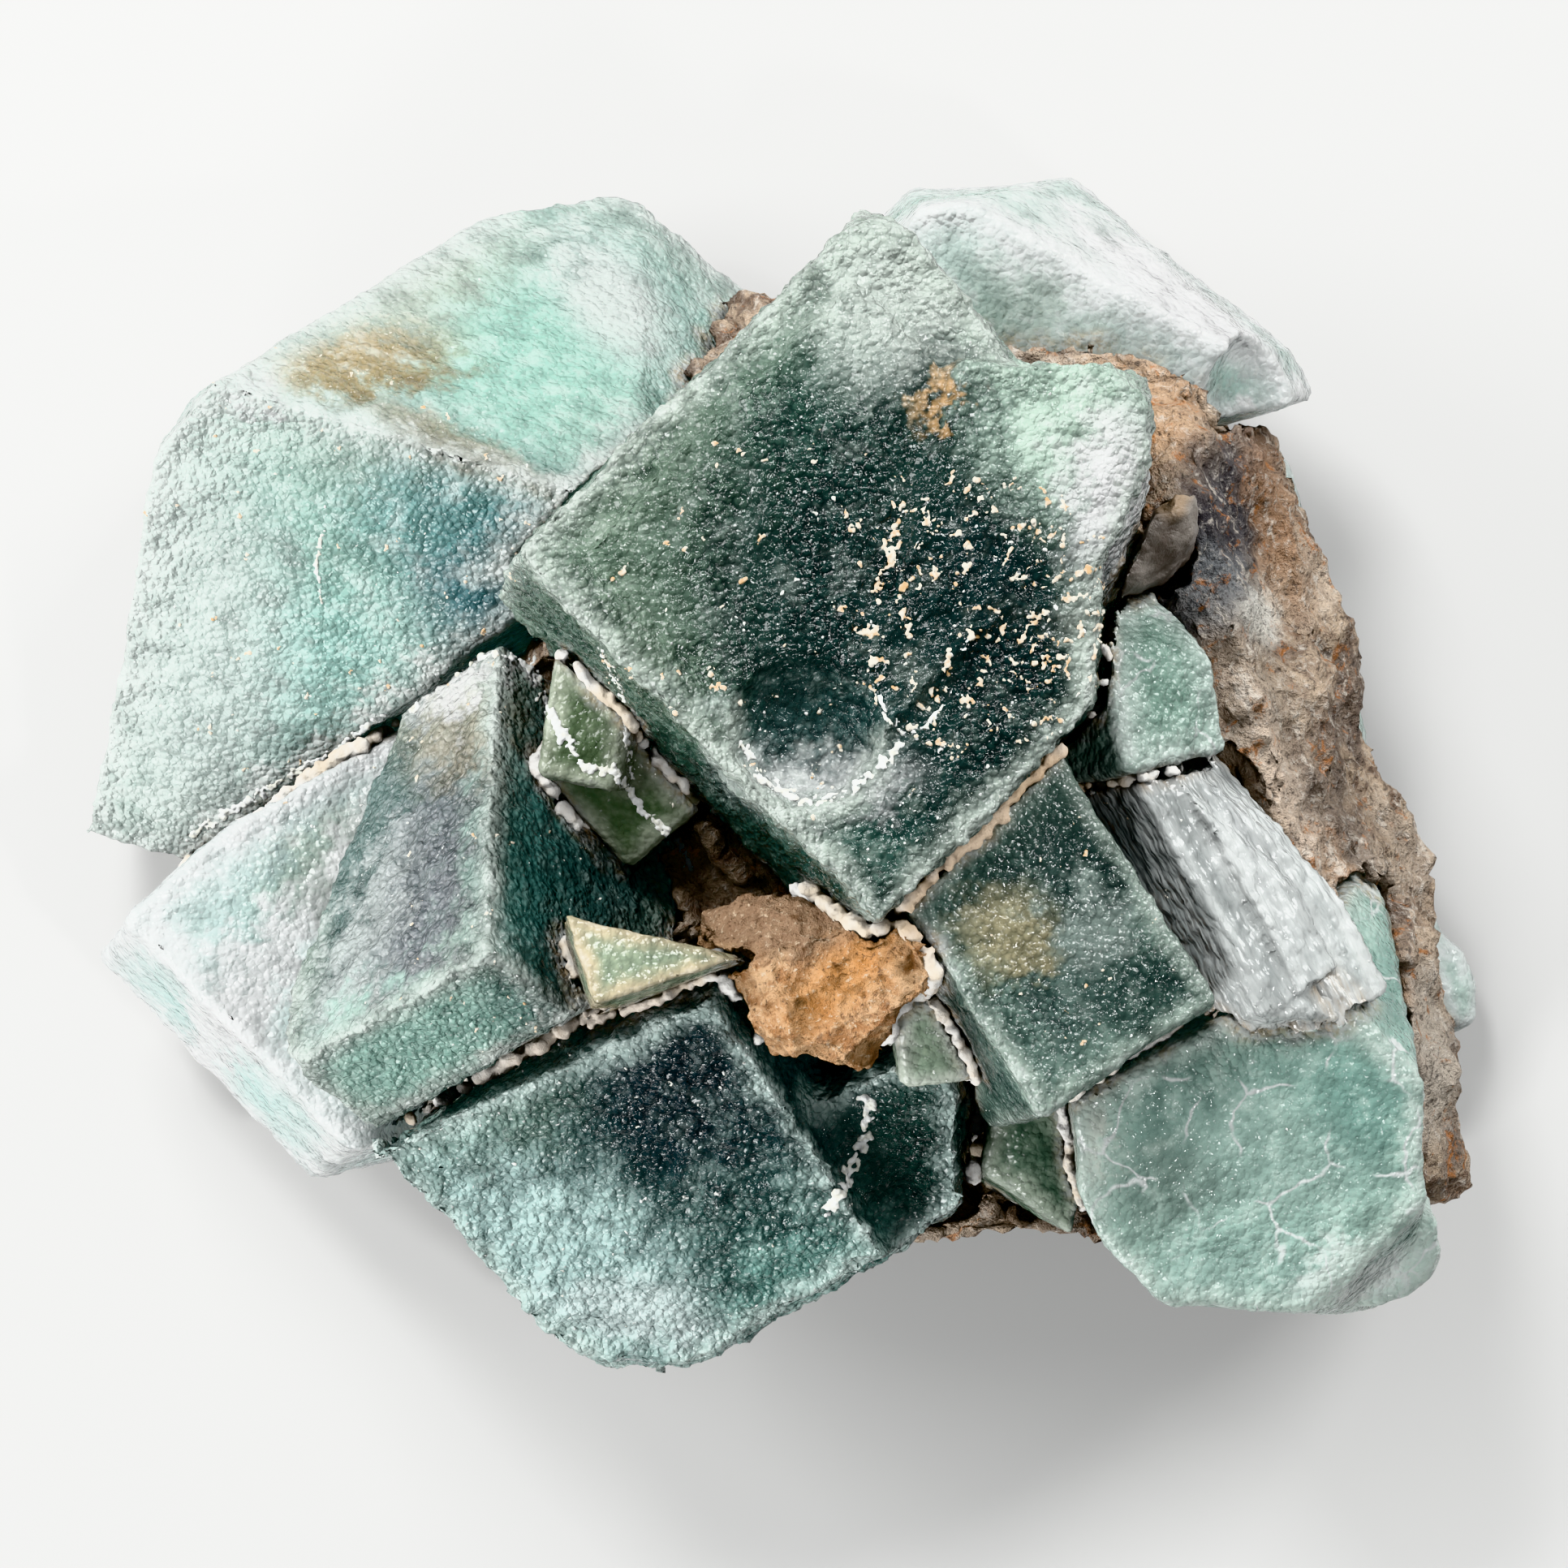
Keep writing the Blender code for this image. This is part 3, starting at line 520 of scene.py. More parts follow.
def frosting_group():
    """What lies over the zones: pale edge, painted shade in the hollows of the etch, milky veils,
    white flecks that are partly frost and partly painted glints, a pale line along sharp edges that
    is partly frost and partly painted highlight, and the whitish to tan halo along a seam."""
    tree, given, result = node_group(
        "frosting",
        {"Colour": "Color", "Rim": "Color", "Outer": "Float", "Ridge": "Float", "Cloud": "Float",
         "Grain": "Float", "Etched": "Float", "Height": "Float", "Dome": "Float", "First": "Float",
         "Second": "Float", "Seam": "Float", "Contrast": "Float", "Veil": "Float",
         "Frost": "Float", "Cracks": "Float"},
        {"Colour": "Color"},
    )
    colour = laid_over(tree, given["Colour"], given["Rim"], given["Outer"], 0.85)
    swing = math_node(tree, "SUBTRACT", given["Cloud"], 0.5)
    mottle = math_node(tree, "MULTIPLY_ADD", swing, 1.5, 1.0)
    colour = mix_node(tree, 1.0, colour, mottle, "MULTIPLY")
    milk = ramp_node(tree, given["Cloud"], 0.48, 0.66)
    colour = laid_over(tree, colour, given["Rim"], milk, given["Veil"])
    # Painted shade: the hollows of the etched relief are darkened, most where the etch is deepest
    # and where the colour is dark.
    pits = ramp_node(tree, given["Height"], 0.34, 0.08)
    deepest = math_node(tree, "MULTIPLY_ADD", given["Etched"], 0.7, 0.3)
    bright = tree.nodes.new("ShaderNodeRGBToBW")
    tree.links.new(colour, bright.inputs["Color"])
    dusk = math_node(tree, "MULTIPLY_ADD", bright.outputs["Val"], -1.15, 1.0)
    pits = math_node(tree, "MULTIPLY", pits, math_node(tree, "MULTIPLY", deepest, dusk))
    pits = math_node(tree, "MULTIPLY", pits, given["Contrast"], clamp=True)
    shade = mix_node(tree, 1.0, colour, (0.16, 0.20, 0.21), "MULTIPLY")
    colour = mix_node(tree, pits, colour, shade)
    colour = mix_node(tree, given["Cracks"], colour, (0.92, 0.97, 0.95))
    # The pale line along sharp edges: partly frost, partly painted highlight.
    colour = laid_over(tree, colour, (0.95, 0.98, 0.96), given["Ridge"], 0.35)
    # White flecks on the tops of some domes: partly frost specks, partly painted glints.
    size = math_node(tree, "MULTIPLY", given["Second"], 0.19)
    small = math_node(tree, "LESS_THAN", given["Dome"], size)
    whiter = math_node(tree, "ADD", milk, given["Outer"])
    dense = math_node(tree, "MULTIPLY_ADD", whiter, 0.16, 0.12)
    there = math_node(tree, "LESS_THAN", given["First"], dense)
    frost_and_glint_fleck = math_node(tree, "MULTIPLY", math_node(tree, "MULTIPLY", small, there), given["Frost"])
    colour = mix_node(tree, frost_and_glint_fleck, colour, (0.97, 1.0, 0.98))
    near = math_node(tree, "MULTIPLY_ADD", given["Cloud"], 1.6, given["Seam"])
    halo = math_node(tree, "MULTIPLY", ramp_node(tree, near, 2.3, 1.15), 0.8)
    tan = ramp_node(tree, given["Grain"], 0.40, 0.66)
    tone = mix_node(tree, tan, (0.93, 0.93, 0.89), (0.74, 0.55, 0.36))
    tree.links.new(mix_node(tree, halo, colour, tone), result["Colour"])
    return tree


def crack_group():
    """Thin lines between warped cells, broken up so that each runs only part of the way."""
    tree, given, result = node_group(
        "cracks", {"Place": "Vector", "Share": "Float"}, {"Lines": "Float"}
    )
    bent = warped(tree, given["Place"], 3.6, 1.6)
    cells = tree.nodes.new("ShaderNodeTexVoronoi")
    cells.feature = "DISTANCE_TO_EDGE"
    cells.inputs["Scale"].default_value = 1000.0 / 4.5
    tree.links.new(bent, cells.inputs["Vector"])
    line = ramp_node(tree, cells.outputs["Distance"], 0.035, 0.0)
    gaps = ramp_node(tree, noise_node(tree, given["Place"], 4.0, 2.0), 0.46, 0.58)
    lines = math_node(tree, "MULTIPLY", math_node(tree, "MULTIPLY", line, gaps), given["Share"])
    tree.links.new(lines, result["Lines"])
    return tree


SKIN, ZONES, FROSTING, CRACKS = skin_group(), zoning_group(), frosting_group(), crack_group()


def absorb(material, through, density):
    """What the inside of a clear stone takes from the light that passes, evenly all through."""
    tree = material.node_tree
    taken = tree.nodes.new("ShaderNodeVolumeAbsorption")
    taken.inputs["Color"].default_value = (*through, 1.0)
    taken.inputs["Density"].default_value = density
    tree.links.new(taken.outputs["Volume"], tree.nodes["Material Output"].inputs["Volume"])
    material.cycles.homogeneous_volume = True
    material.cycles.volume_sampling = "DISTANCE"


def fluorite(
    name, core, body, rim, patches=(), band=2.2, through=(0.14, 0.50, 0.45), density=120.0,
    frost=0.5, roughness=(0.05, 0.22), grit=0.2, contrast=0.6, veil=0.2, cracked=0.0, striped=None,
):
    """Etched fluorite. core, body and rim are its colours from the middle of a face to its edge,
    band is the width of that edge in millimetres, and patches are coloured ovals. through and
    density are what the stone takes from light. frost says how much there is of white flecks,
    partly frost and partly painted glints; contrast, how strong the painted shade in the etch
    hollows is; veil and cracked, how much milk and cracks. striped is the heading of its cleavage."""
    material, tree, shader, place = new_material(f"fluorite, {name}")
    distance = {}
    for label in ("from_edge", "from_seam"):
        reader = tree.nodes.new("ShaderNodeAttribute")
        reader.attribute_name = label
        distance[label] = reader.outputs["Fac"]
    grown = drawn_out(tree, place, striped, 4.0) if striped is not None else place
    skin = placed(tree, SKIN, place=grown)
    zones = placed(
        tree, ZONES, edge=distance["from_edge"], cloud=skin["Cloud"],
        band=band, core=core, body=body,
    )
    swing = math_node(tree, "SUBTRACT", skin["Cloud"], 0.5)
    moved = vector_node(tree, "MULTIPLY_ADD", swing, (7.0 * MM, -7.0 * MM, 0.0), place)
    colour = zones["Colour"]
    for middle, spread, turn, tone, amount in patches:
        mask = patch(tree, moved, middle, spread, turn, 0.6)
        colour = laid_over(tree, colour, tone, mask, amount)
    lines = placed(tree, CRACKS, place=grown, share=cracked)["Lines"] if cracked else 0.0
    frosting = placed(
        tree, FROSTING, colour=colour, rim=rim, outer=zones["Outer"], ridge=zones["Ridge"],
        cloud=skin["Cloud"], grain=skin["Grain"], etched=skin["Etched"], height=skin["Height"],
        dome=skin["Dome"], first=skin["First"], second=skin["Second"], seam=distance["from_seam"],
        contrast=contrast, veil=veil, frost=frost, cracks=lines,
    )
    tree.links.new(frosting["Colour"], shader.inputs["Base Color"])
    rough = tree.nodes.new("ShaderNodeMapRange")
    tree.links.new(skin["Cloud"], rough.inputs["Value"])
    rough.inputs["From Min"].default_value = 0.35
    rough.inputs["From Max"].default_value = 0.65
    rough.inputs["To Min"].default_value, rough.inputs["To Max"].default_value = roughness
    tree.links.new(rough.outputs["Result"], shader.inputs["Roughness"])
    shader.inputs["Transmission Weight"].default_value = 0.50
    shader.inputs["IOR"].default_value = 1.434  # of fluorite
    bump_node(tree, skin["Height"], grit, shader)
    absorb(material, through, density)
    return material


centre = etched_crystal(
    "crystal_centre", 0.32, peel=0.40, pits=0.34, bites=((1.4, 2.4, 47.6, 4.6),),
    layer_above=lambda at: at.z > 46.15 - 0.1 * (at.x + 15.5) - 0.098 * (at.y - 12.4),
)
finish(
    centre,
    fluorite(
        "centre crystal",
        core=(0.10, 0.19, 0.15),
        body=(0.22, 0.32, 0.25),
        rim=(0.60, 0.69, 0.61),
        patches=(
            ((-6.5, 12.0), (6.0, 8.5), 0.0, (0.25, 0.34, 0.25), 0.6),
            ((6.6, 26.6), (5.2, 5.6), 0.0, (0.74, 0.82, 0.75), 0.9),
            ((9.0, 8.0), (9.4, 12.0), 0.0, (0.012, 0.034, 0.036), 0.97),
            ((2.0, 9.5), (7.0, 9.6), 20.0, (0.03, 0.06, 0.055), 0.85),
            ((7.5, 18.5), (3.0, 5.0), -20.0, (0.04, 0.075, 0.065), 0.8),
            ((8.0, -1.0), (9.0, 6.0), 35.0, (0.03, 0.065, 0.058), 0.85),
            ((4.0, -6.0), (5.0, 3.6), 0.0, (0.06, 0.14, 0.115), 0.8),
            ((16.0, 19.8), (4.8, 5.2), 0.0, (0.66, 0.86, 0.72), 0.95),
            ((18.6, 15.8), (2.8, 4.6), 0.0, (1.0, 1.0, 1.0), 0.95),
            ((8.7, 21.0), (0.8, 1.9), -30.0, (0.80, 0.50, 0.24), 0.8),
            ((1.4, 0.2), (4.8, 2.2), 0.0, (0.96, 1.0, 0.98), 0.75),
            ((1.4, 3.0), (4.4, 2.3), 0.0, (0.10, 0.18, 0.17), 0.9),
        ),
        frost=0.9,
        contrast=0.95,
        grit=0.30,
        band=1.6,
    ),
)

upper_left = etched_crystal("crystal_upper_left", 0.42, pits=0.24)
finish(
    upper_left,
    fluorite(
        "upper left crystal",
        core=(0.40, 0.64, 0.56),
        body=(0.52, 0.67, 0.60),
        rim=(0.82, 0.88, 0.84),
        patches=(
            ((-17.0, 12.4), (5.0, 6.4), 0.0, (0.05, 0.20, 0.24), 0.85),
            ((-21.0, 15.6), (4.4, 3.0), 0.0, (0.24, 0.50, 0.48), 0.7),
            ((-28.0, 4.5), (7.0, 6.0), 0.0, (0.44, 0.82, 0.74), 0.6),
            ((-35.5, 8.0), (5.6, 14.0), 0.0, (0.80, 0.88, 0.84), 0.8),
            ((-24.0, 28.0), (8.0, 3.0), 25.0, (0.66, 0.72, 0.60), 0.6),
            ((-14.0, 24.0), (6.0, 6.4), 0.0, (0.52, 0.92, 0.76), 0.6),
            ((-25.0, 24.4), (5.4, 1.9), 8.0, (0.52, 0.36, 0.15), 0.8),
            ((-18.6, 19.0), (6.2, 1.0), -24.0, (0.33, 0.28, 0.16), 0.85),
            ((-31.2, 22.6), (1.8, 1.5), 0.0, (1.0, 1.0, 1.0), 0.9),
            ((-10.6, 29.0), (2.6, 5.0), 40.0, (0.98, 0.98, 0.96), 0.7),
            ((-20.0, 5.0), (5.0, 1.6), 28.0, (1.0, 1.0, 0.98), 0.9),
            ((-28.8, 0.2), (7.6, 1.1), 30.0, (1.0, 1.0, 0.98), 0.85),
        ),
        through=(0.36, 0.76, 0.68),
        density=45.0,
        contrast=0.45,
        veil=0.4,
        frost=0.5,
        grit=0.22,
    ),
)

lower_left = etched_crystal("crystal_lower_left", 0.42)
finish(
    lower_left,
    fluorite(
        "lower left crystal",
        core=(0.64, 0.96, 0.90),
        body=(0.78, 0.96, 0.92),
        rim=(1.0, 1.0, 1.0),
        patches=(
            ((-27.0, -5.0), (4.6, 2.6), 35.0, (0.44, 0.56, 0.44), 0.7),
            # The white strip along the outer left rim is a painted rim of light.
            ((-33.0, -14.0), (2.2, 12.0), -38.0, (1.0, 1.0, 1.0), 0.9),
        ),
        through=(0.40, 0.84, 0.80),
        density=14.0,
        contrast=0.15,
        veil=0.35,
        grit=0.14,
    ),
)

left_corner = etched_crystal("crystal_left_corner", 0.34, peel=0.32, pits=0.30)
finish(
    left_corner,
    fluorite(
        "left corner crystal",
        core=(0.20, 0.30, 0.28),
        body=(0.36, 0.46, 0.40),
        rim=(0.62, 0.70, 0.64),
        patches=(
            # The grey-lilac oval on the left face is a painted reflection.
            ((-21.0, -6.4), (2.6, 7.6), -12.0, (0.27, 0.28, 0.31), 0.8),
            ((-24.6, -10.0), (1.8, 7.0), -20.0, (0.66, 0.72, 0.70), 0.8),
            ((-19.0, 2.4), (3.4, 2.2), 25.0, (0.52, 0.46, 0.34), 0.7),
            ((-18.5, 5.6), (4.4, 1.5), 25.0, (1.0, 1.0, 0.98), 0.95),
            ((-13.8, -4.4), (3.2, 6.2), -10.0, (0.16, 0.38, 0.34), 0.85),
            ((-11.0, -3.4), (2.2, 4.4), -20.0, (0.10, 0.17, 0.16), 0.7),
            ((-14.0, -12.6), (2.8, 2.6), 0.0, (0.01, 0.06, 0.065), 0.9),
            ((-20.6, -15.4), (6.5, 3.4), 20.0, (0.46, 0.78, 0.66), 0.85),
            ((-13.6, -15.4), (3.0, 1.0), 30.0, (1.0, 1.0, 0.96), 0.85),
        ),
        frost=0.8,
        contrast=0.9,
        grit=0.30,
        band=1.3,
    ),
)

bottom = etched_crystal(
    "crystal_bottom", 0.34, peel=0.34, pits=0.30,
    rough_zone=lambda at: (-at.y - 14.0) / 8.0, rough_depth=0.45,
)
finish(
    bottom,
    fluorite(
        "bottom crystal",
        core=(0.12, 0.22, 0.20),
        body=(0.26, 0.42, 0.38),
        rim=(0.70, 0.88, 0.82),
        patches=(
            ((-16.6, -19.6), (5.6, 2.8), 25.0, (0.34, 0.50, 0.42), 0.7),
            ((-6.0, -17.5), (6.4, 6.6), 0.0, (0.012, 0.03, 0.042), 0.96),
            ((1.5, -18.5), (4.0, 4.6), 0.0, (0.015, 0.05, 0.055), 0.9),
            # The pale silvery mint oval and the near white one below it, on the lower left face:
            # partly its pale tone, partly a painted highlight of reflected light.
            ((-13.4, -28.0), (8.2, 4.8), -35.0, (0.66, 0.92, 0.88), 0.9),
            ((-9.0, -31.6), (5.0, 2.2), -10.0, (0.86, 1.0, 0.98), 0.8),
            ((7.6, -22.0), (5.0, 5.8), 0.0, (0.03, 0.075, 0.06), 0.97),
            ((1.0, -29.4), (5.0, 2.4), 20.0, (0.22, 0.46, 0.40), 0.85),
        ),
        frost=0.8,
        contrast=0.8,
        grit=0.34,
        band=1.5,
        roughness=(0.03, 0.16),
    ),
)

square = etched_crystal("crystal_right", 0.32, peel=0.20, pits=0.16)
finish(
    square,
    fluorite(
        "square crystal",
        core=(0.11, 0.17, 0.15),
        body=(0.18, 0.27, 0.23),
        rim=(0.42, 0.52, 0.45),
        patches=(
            ((12.4, -8.8), (2.6, 2.4), 0.0, (0.58, 0.52, 0.32), 0.8),
            ((17.4, -3.4), (2.6, 2.8), 0.0, (0.03, 0.055, 0.05), 0.85),
            ((21.6, -11.6), (4.0, 2.0), 20.0, (0.04, 0.075, 0.065), 0.8),
            ((17.8, -8.0), (3.2, 2.2), 30.0, (0.34, 0.42, 0.38), 0.8),
            ((21.6, -2.6), (1.6, 3.4), 30.0, (0.52, 0.44, 0.28), 0.5),
        ),
        frost=0.4,
        contrast=0.8,
        band=1.0,
    ),
)

lower_right = etched_crystal("crystal_lower_right", 0.38, peel=0.22, pits=0.16)
finish(
    lower_right,
    fluorite(
        "lower right crystal",
        core=(0.36, 0.58, 0.50),
        body=(0.46, 0.67, 0.58),
        rim=(0.66, 0.80, 0.72),
        patches=(
            ((27.0, -22.0), (7.0, 5.0), 0.0, (0.52, 0.70, 0.62), 0.6),
            ((21.6, -23.6), (2.8, 3.0), 0.0, (0.28, 0.38, 0.33), 0.7),
            ((25.0, -29.0), (6.0, 2.2), 15.0, (0.40, 0.56, 0.50), 0.7),
            ((17.4, -20.6), (1.5, 3.2), 0.0, (0.92, 0.98, 0.88), 0.85),
            ((34.0, -29.4), (4.6, 1.9), 12.0, (0.95, 1.0, 0.97), 0.9),
            ((33.6, -18.0), (3.4, 3.6), 0.0, (0.26, 0.50, 0.43), 0.6),
            ((20.0, -16.6), (4.0, 2.4), 0.0, (0.24, 0.38, 0.33), 0.6),
        ),
        band=1.2,
        through=(0.24, 0.66, 0.60),
        density=35.0,
        cracked=1.0,
        contrast=0.2,
        veil=0.4,
        grit=0.14,
        frost=0.4,
    ),
)

upper_right = etched_crystal("crystal_upper_right", 0.42)
finish(
    upper_right,
    fluorite(
        "upper right crystal",
        core=(0.54, 0.78, 0.67),
        body=(0.70, 0.84, 0.78),
        rim=(1.0, 1.0, 1.0),
        patches=(
            ((28.0, 23.6), (2.6, 2.6), 0.0, (0.36, 0.78, 0.64), 0.7),
            ((15.0, 29.0), (4.0, 3.0), 0.0, (0.66, 0.74, 0.66), 0.5),
            # The white band along the upper right rim is a painted rim of light.
            ((22.6, 29.2), (9.0, 1.8), -37.0, (1.0, 1.0, 1.0), 0.98),
        ),
        through=(0.40, 0.84, 0.78),
        density=14.0,
        contrast=0.15,
        veil=0.4,
        grit=0.14,
        frost=0.4,
    ),
)

right_upper = etched_crystal("crystal_right_upper", 0.22)
finish(
    right_upper,
    fluorite(
        "right upper crystal",
        core=(0.28, 0.44, 0.36),
        body=(0.36, 0.56, 0.46),
        rim=(0.74, 0.88, 0.80),
        cracked=0.8,
        frost=0.4,
        contrast=0.5,
        veil=0.35,
    ),
)

splinter = etched_crystal("cleaved_splinter", 0.26, peel=0.26, pits=0.24)
finish(
    splinter,
    fluorite(
        "splinter",
        core=(0.42, 0.46, 0.45),
        body=(0.52, 0.57, 0.56),
        rim=(0.86, 0.90, 0.88),
        patches=(
            ((20.6, 2.6), (1.4, 8.0), 30.0, (0.14, 0.17, 0.16), 0.85),
            ((27.0, -4.0), (1.6, 6.0), 28.0, (0.95, 0.98, 0.97), 0.7),
            ((23.6, 5.0), (2.4, 2.6), 0.0, (0.80, 0.80, 0.84), 0.6),
        ),
        density=30.0,
        through=(0.55, 0.70, 0.66),
        cracked=0.8,
        contrast=0.7,
        striped=-62.0,
        veil=0.35,
        frost=0.3,
    ),
)

for node, voxel, core, rim, slot in (
    ("olive_chip", 0.24, (0.42, 0.52, 0.37), (0.80, 0.66, 0.44), "blue_green_fluorite"),
    ("gap_crystals", 0.24, (0.17, 0.24, 0.14), (0.58, 0.64, 0.50), "blue_green_fluorite"),
    ("pale_chip", 0.24, (0.56, 0.72, 0.54), (0.90, 0.96, 0.84), "pale_fluorite"),
    ("under_crystal", 0.24, (0.18, 0.28, 0.20), (0.60, 0.70, 0.56), "blue_green_fluorite"),
    ("fluorite_rim", 0.42, (0.66, 0.84, 0.76), (0.95, 1.0, 0.98), "pale_fluorite"),
):
    small = etched_crystal(node, voxel, undulation=0.2, peel=0.14, pits=0.08)
    stone = fluorite(
        node.replace("_", " "), core=core, body=core, rim=rim, band=1.0, frost=0.3, contrast=0.4,
        density=30.0, through=(0.30, 0.60, 0.50), grit=0.12,
    )
    finish(small, stone)


# The smoky chip right of the lobe: brown-grey quartz with a tan knob at its upper end. It is a
# broken bit of a crystal, grown in between the centre crystal and the rock.
def smoky_material():
    material, tree, shader, place = new_material("smoky quartz, cracked")
    broad = ramp_node(tree, noise_node(tree, place, 2.4, 4.0), 0.36, 0.66)
    colour = mix_node(tree, broad, (0.20, 0.16, 0.13), (0.44, 0.39, 0.34))
    knob = patch(tree, warped(tree, place, 1.5, 0.6), (21.8, 16.2), (1.3, 1.5), 0.0, 0.4)
    colour = mix_node(tree, knob, colour, (0.62, 0.44, 0.28))
    tree.links.new(colour, shader.inputs["Base Color"])
    shader.inputs["Roughness"].default_value = 0.34
    shader.inputs["Transmission Weight"].default_value = 0.5
    shader.inputs["IOR"].default_value = 1.54
    bump_node(tree, noise_node(tree, place, 0.8, 5.0, 0.7), 0.3, shader)
    absorb(material, (0.45, 0.36, 0.28), 120.0)
    return material


smoky = merged_copy("smoky_chip", "smoky_chip_cracked")
even_mesh(smoky, 0.20)
relieve(smoky, "CLOUDS", 1.6, 0.4, noise_depth=2)
keep_within(smoky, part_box("smoky_chip"))
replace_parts(smoky, "smoky_chip")
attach(smoky, "root")
finish(smoky, smoky_material())


# The druse: white to tan crusts of tiny mineral grains, grown last of all. They fill the seams
# where two pieces meet, wherever the groove between them is open to the outside.
def dressed(name):
    """The finished piece that stands for a solid."""
    return next(o for o in bpy.data.objects if name in o.get("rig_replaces", ()))


finished = {name: dressed(name) for name in frame["nodes"]}
trees = {}
for name, piece in finished.items():
    corners = [vertex.co for vertex in piece.data.vertices]
    sides = [polygon.vertices for polygon in piece.data.polygons]
    trees[name] = BVHTree.FromPolygons(corners, sides)


def halo(name, reach=2.6):
    """Stores how far each point of a piece lies from the nearest other piece, in millimetres."""
    piece = finished[name]
    low, high = (Vector(corner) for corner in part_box(name))
    away = np.full(len(piece.data.vertices), reach)
    for other, tree in trees.items():
        near, far = (Vector(corner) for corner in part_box(other))
        if other == name or any(near[i] > high[i] or far[i] < low[i] for i in range(3)):
            continue
        for vertex in piece.data.vertices:
            spot = vertex.co
            if all(near[i] - reach * MM < spot[i] < far[i] + reach * MM for i in range(3)):
                gap = tree.find_nearest(spot, away[vertex.index] * MM)[3]
                if gap is not None:
                    away[vertex.index] = gap / MM
    piece.data.attributes.new("from_seam", "FLOAT", "POINT").data.foreach_set("value", away)


for name, piece in finished.items():
    if "from_edge" in piece.data.attributes:
        halo(name)


def open_above(point, outward, reach=14.0):
    """True where nothing stands within reach millimetres along a direction."""
    return all(tree.ray_cast(point, outward, reach * MM)[0] is None for tree in trees.values())


def seam(first, second, width, spacing=0.17):
    """Grains that fill the groove between two pieces up to where it is width millimetres wide,
    wherever it comes out into the open."""
    low, high = (np.array(corner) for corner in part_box(second))
    taken, found = set(), []
    for vertex in finished[first].data.vertices:
        spot = vertex.co
        if any(not low[i] - width * MM <= spot[i] <= high[i] + width * MM for i in range(3)):
            continue
        other, normal, _, gap = trees[second].find_nearest(spot, width * MM)
        if other is None:
            continue
        outward = vertex.normal + normal
        if outward.length < 0.3:
            continue
        outward.normalize()
        middle = (spot + other) / 2
        cell = tuple(int(c / (spacing * MM)) for c in middle)
        if cell in taken or not open_above(middle + outward * 0.6 * MM, outward):
            continue
        taken.add(cell)
        for _ in range(2):
            stray = Vector([random.gauss(0, 0.06) * MM for _ in range(3)])
            size = (0.36 * gap / MM + 0.08) * random.uniform(0.8, 1.15)
            found.append((middle + outward * random.uniform(-0.05, 0.12) * MM + stray, size))
    return found


def grain_crust(name, grains, voxel, roughness):
    """One lumpy body from many overlapping grains, each a place and a size in millimetres."""
    shape = bmesh.new()
    bmesh.ops.create_icosphere(shape, subdivisions=1, radius=1.0)
    corners = np.array([vertex.co for vertex in shape.verts])
    faces = np.array([[vertex.index for vertex in face.verts] for face in shape.faces])
    shape.free()
    turns = np.random.default_rng(5)
    places, ends = [], []
    for number, (spot, size) in enumerate(grains):
        squash = corners * turns.uniform(0.5, 1.35, 3) * size * MM
        turn = np.array(Euler(turns.uniform(0, math.tau, 3)).to_matrix())
        places.append(squash @ turn + np.array(spot))
        ends.append(faces + number * len(corners))
    mesh = bpy.data.meshes.new(name)
    mesh.from_pydata(np.concatenate(places), [], np.concatenate(ends).tolist())
    crust = bpy.data.objects.new(name, mesh)
    bpy.context.scene.collection.objects.link(crust)
    even_mesh(crust, voxel)
    relieve(crust, "CLOUDS", 0.35, roughness, level=0.5, noise_depth=2)
    keep_within(crust, solid_box)
    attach(crust, "root")
    return crust


def druse_material():
    material, tree, shader, place = new_material("druse, white to tan")
    tone = ramp_node(tree, noise_node(tree, place, 5.0, 4.0, 0.6), 0.44, 0.66)
    colour = mix_node(tree, tone, (0.90, 0.89, 0.85), (0.80, 0.69, 0.54))
    for middle, spread, turn, amount in (
        ((11.5, -4.0), (2.0, 8.0), -42.0, 0.7),
        ((19.4, -6.0), (2.0, 9.0), 32.0, 0.8),
        ((-12.0, -15.5), (7.0, 2.0), 32.0, 0.4),
    ):
        mask = patch(tree, warped(tree, place, 2.0, 1.0), middle, spread, turn, 0.5)
        colour = laid_over(tree, colour, (0.66, 0.44, 0.24), mask, amount)
    dirt = ramp_node(tree, noise_node(tree, place, 0.7, 4.0, 0.7), 0.52, 0.70)
    colour = laid_over(tree, colour, (0.55, 0.43, 0.30), dirt, 0.4)
    tree.links.new(colour, shader.inputs["Base Color"])
    shader.inputs["Roughness"].default_value = 0.62
    bump_node(tree, noise_node(tree, place, 0.25, 4.0, 0.7), 0.12, shader)
    return material


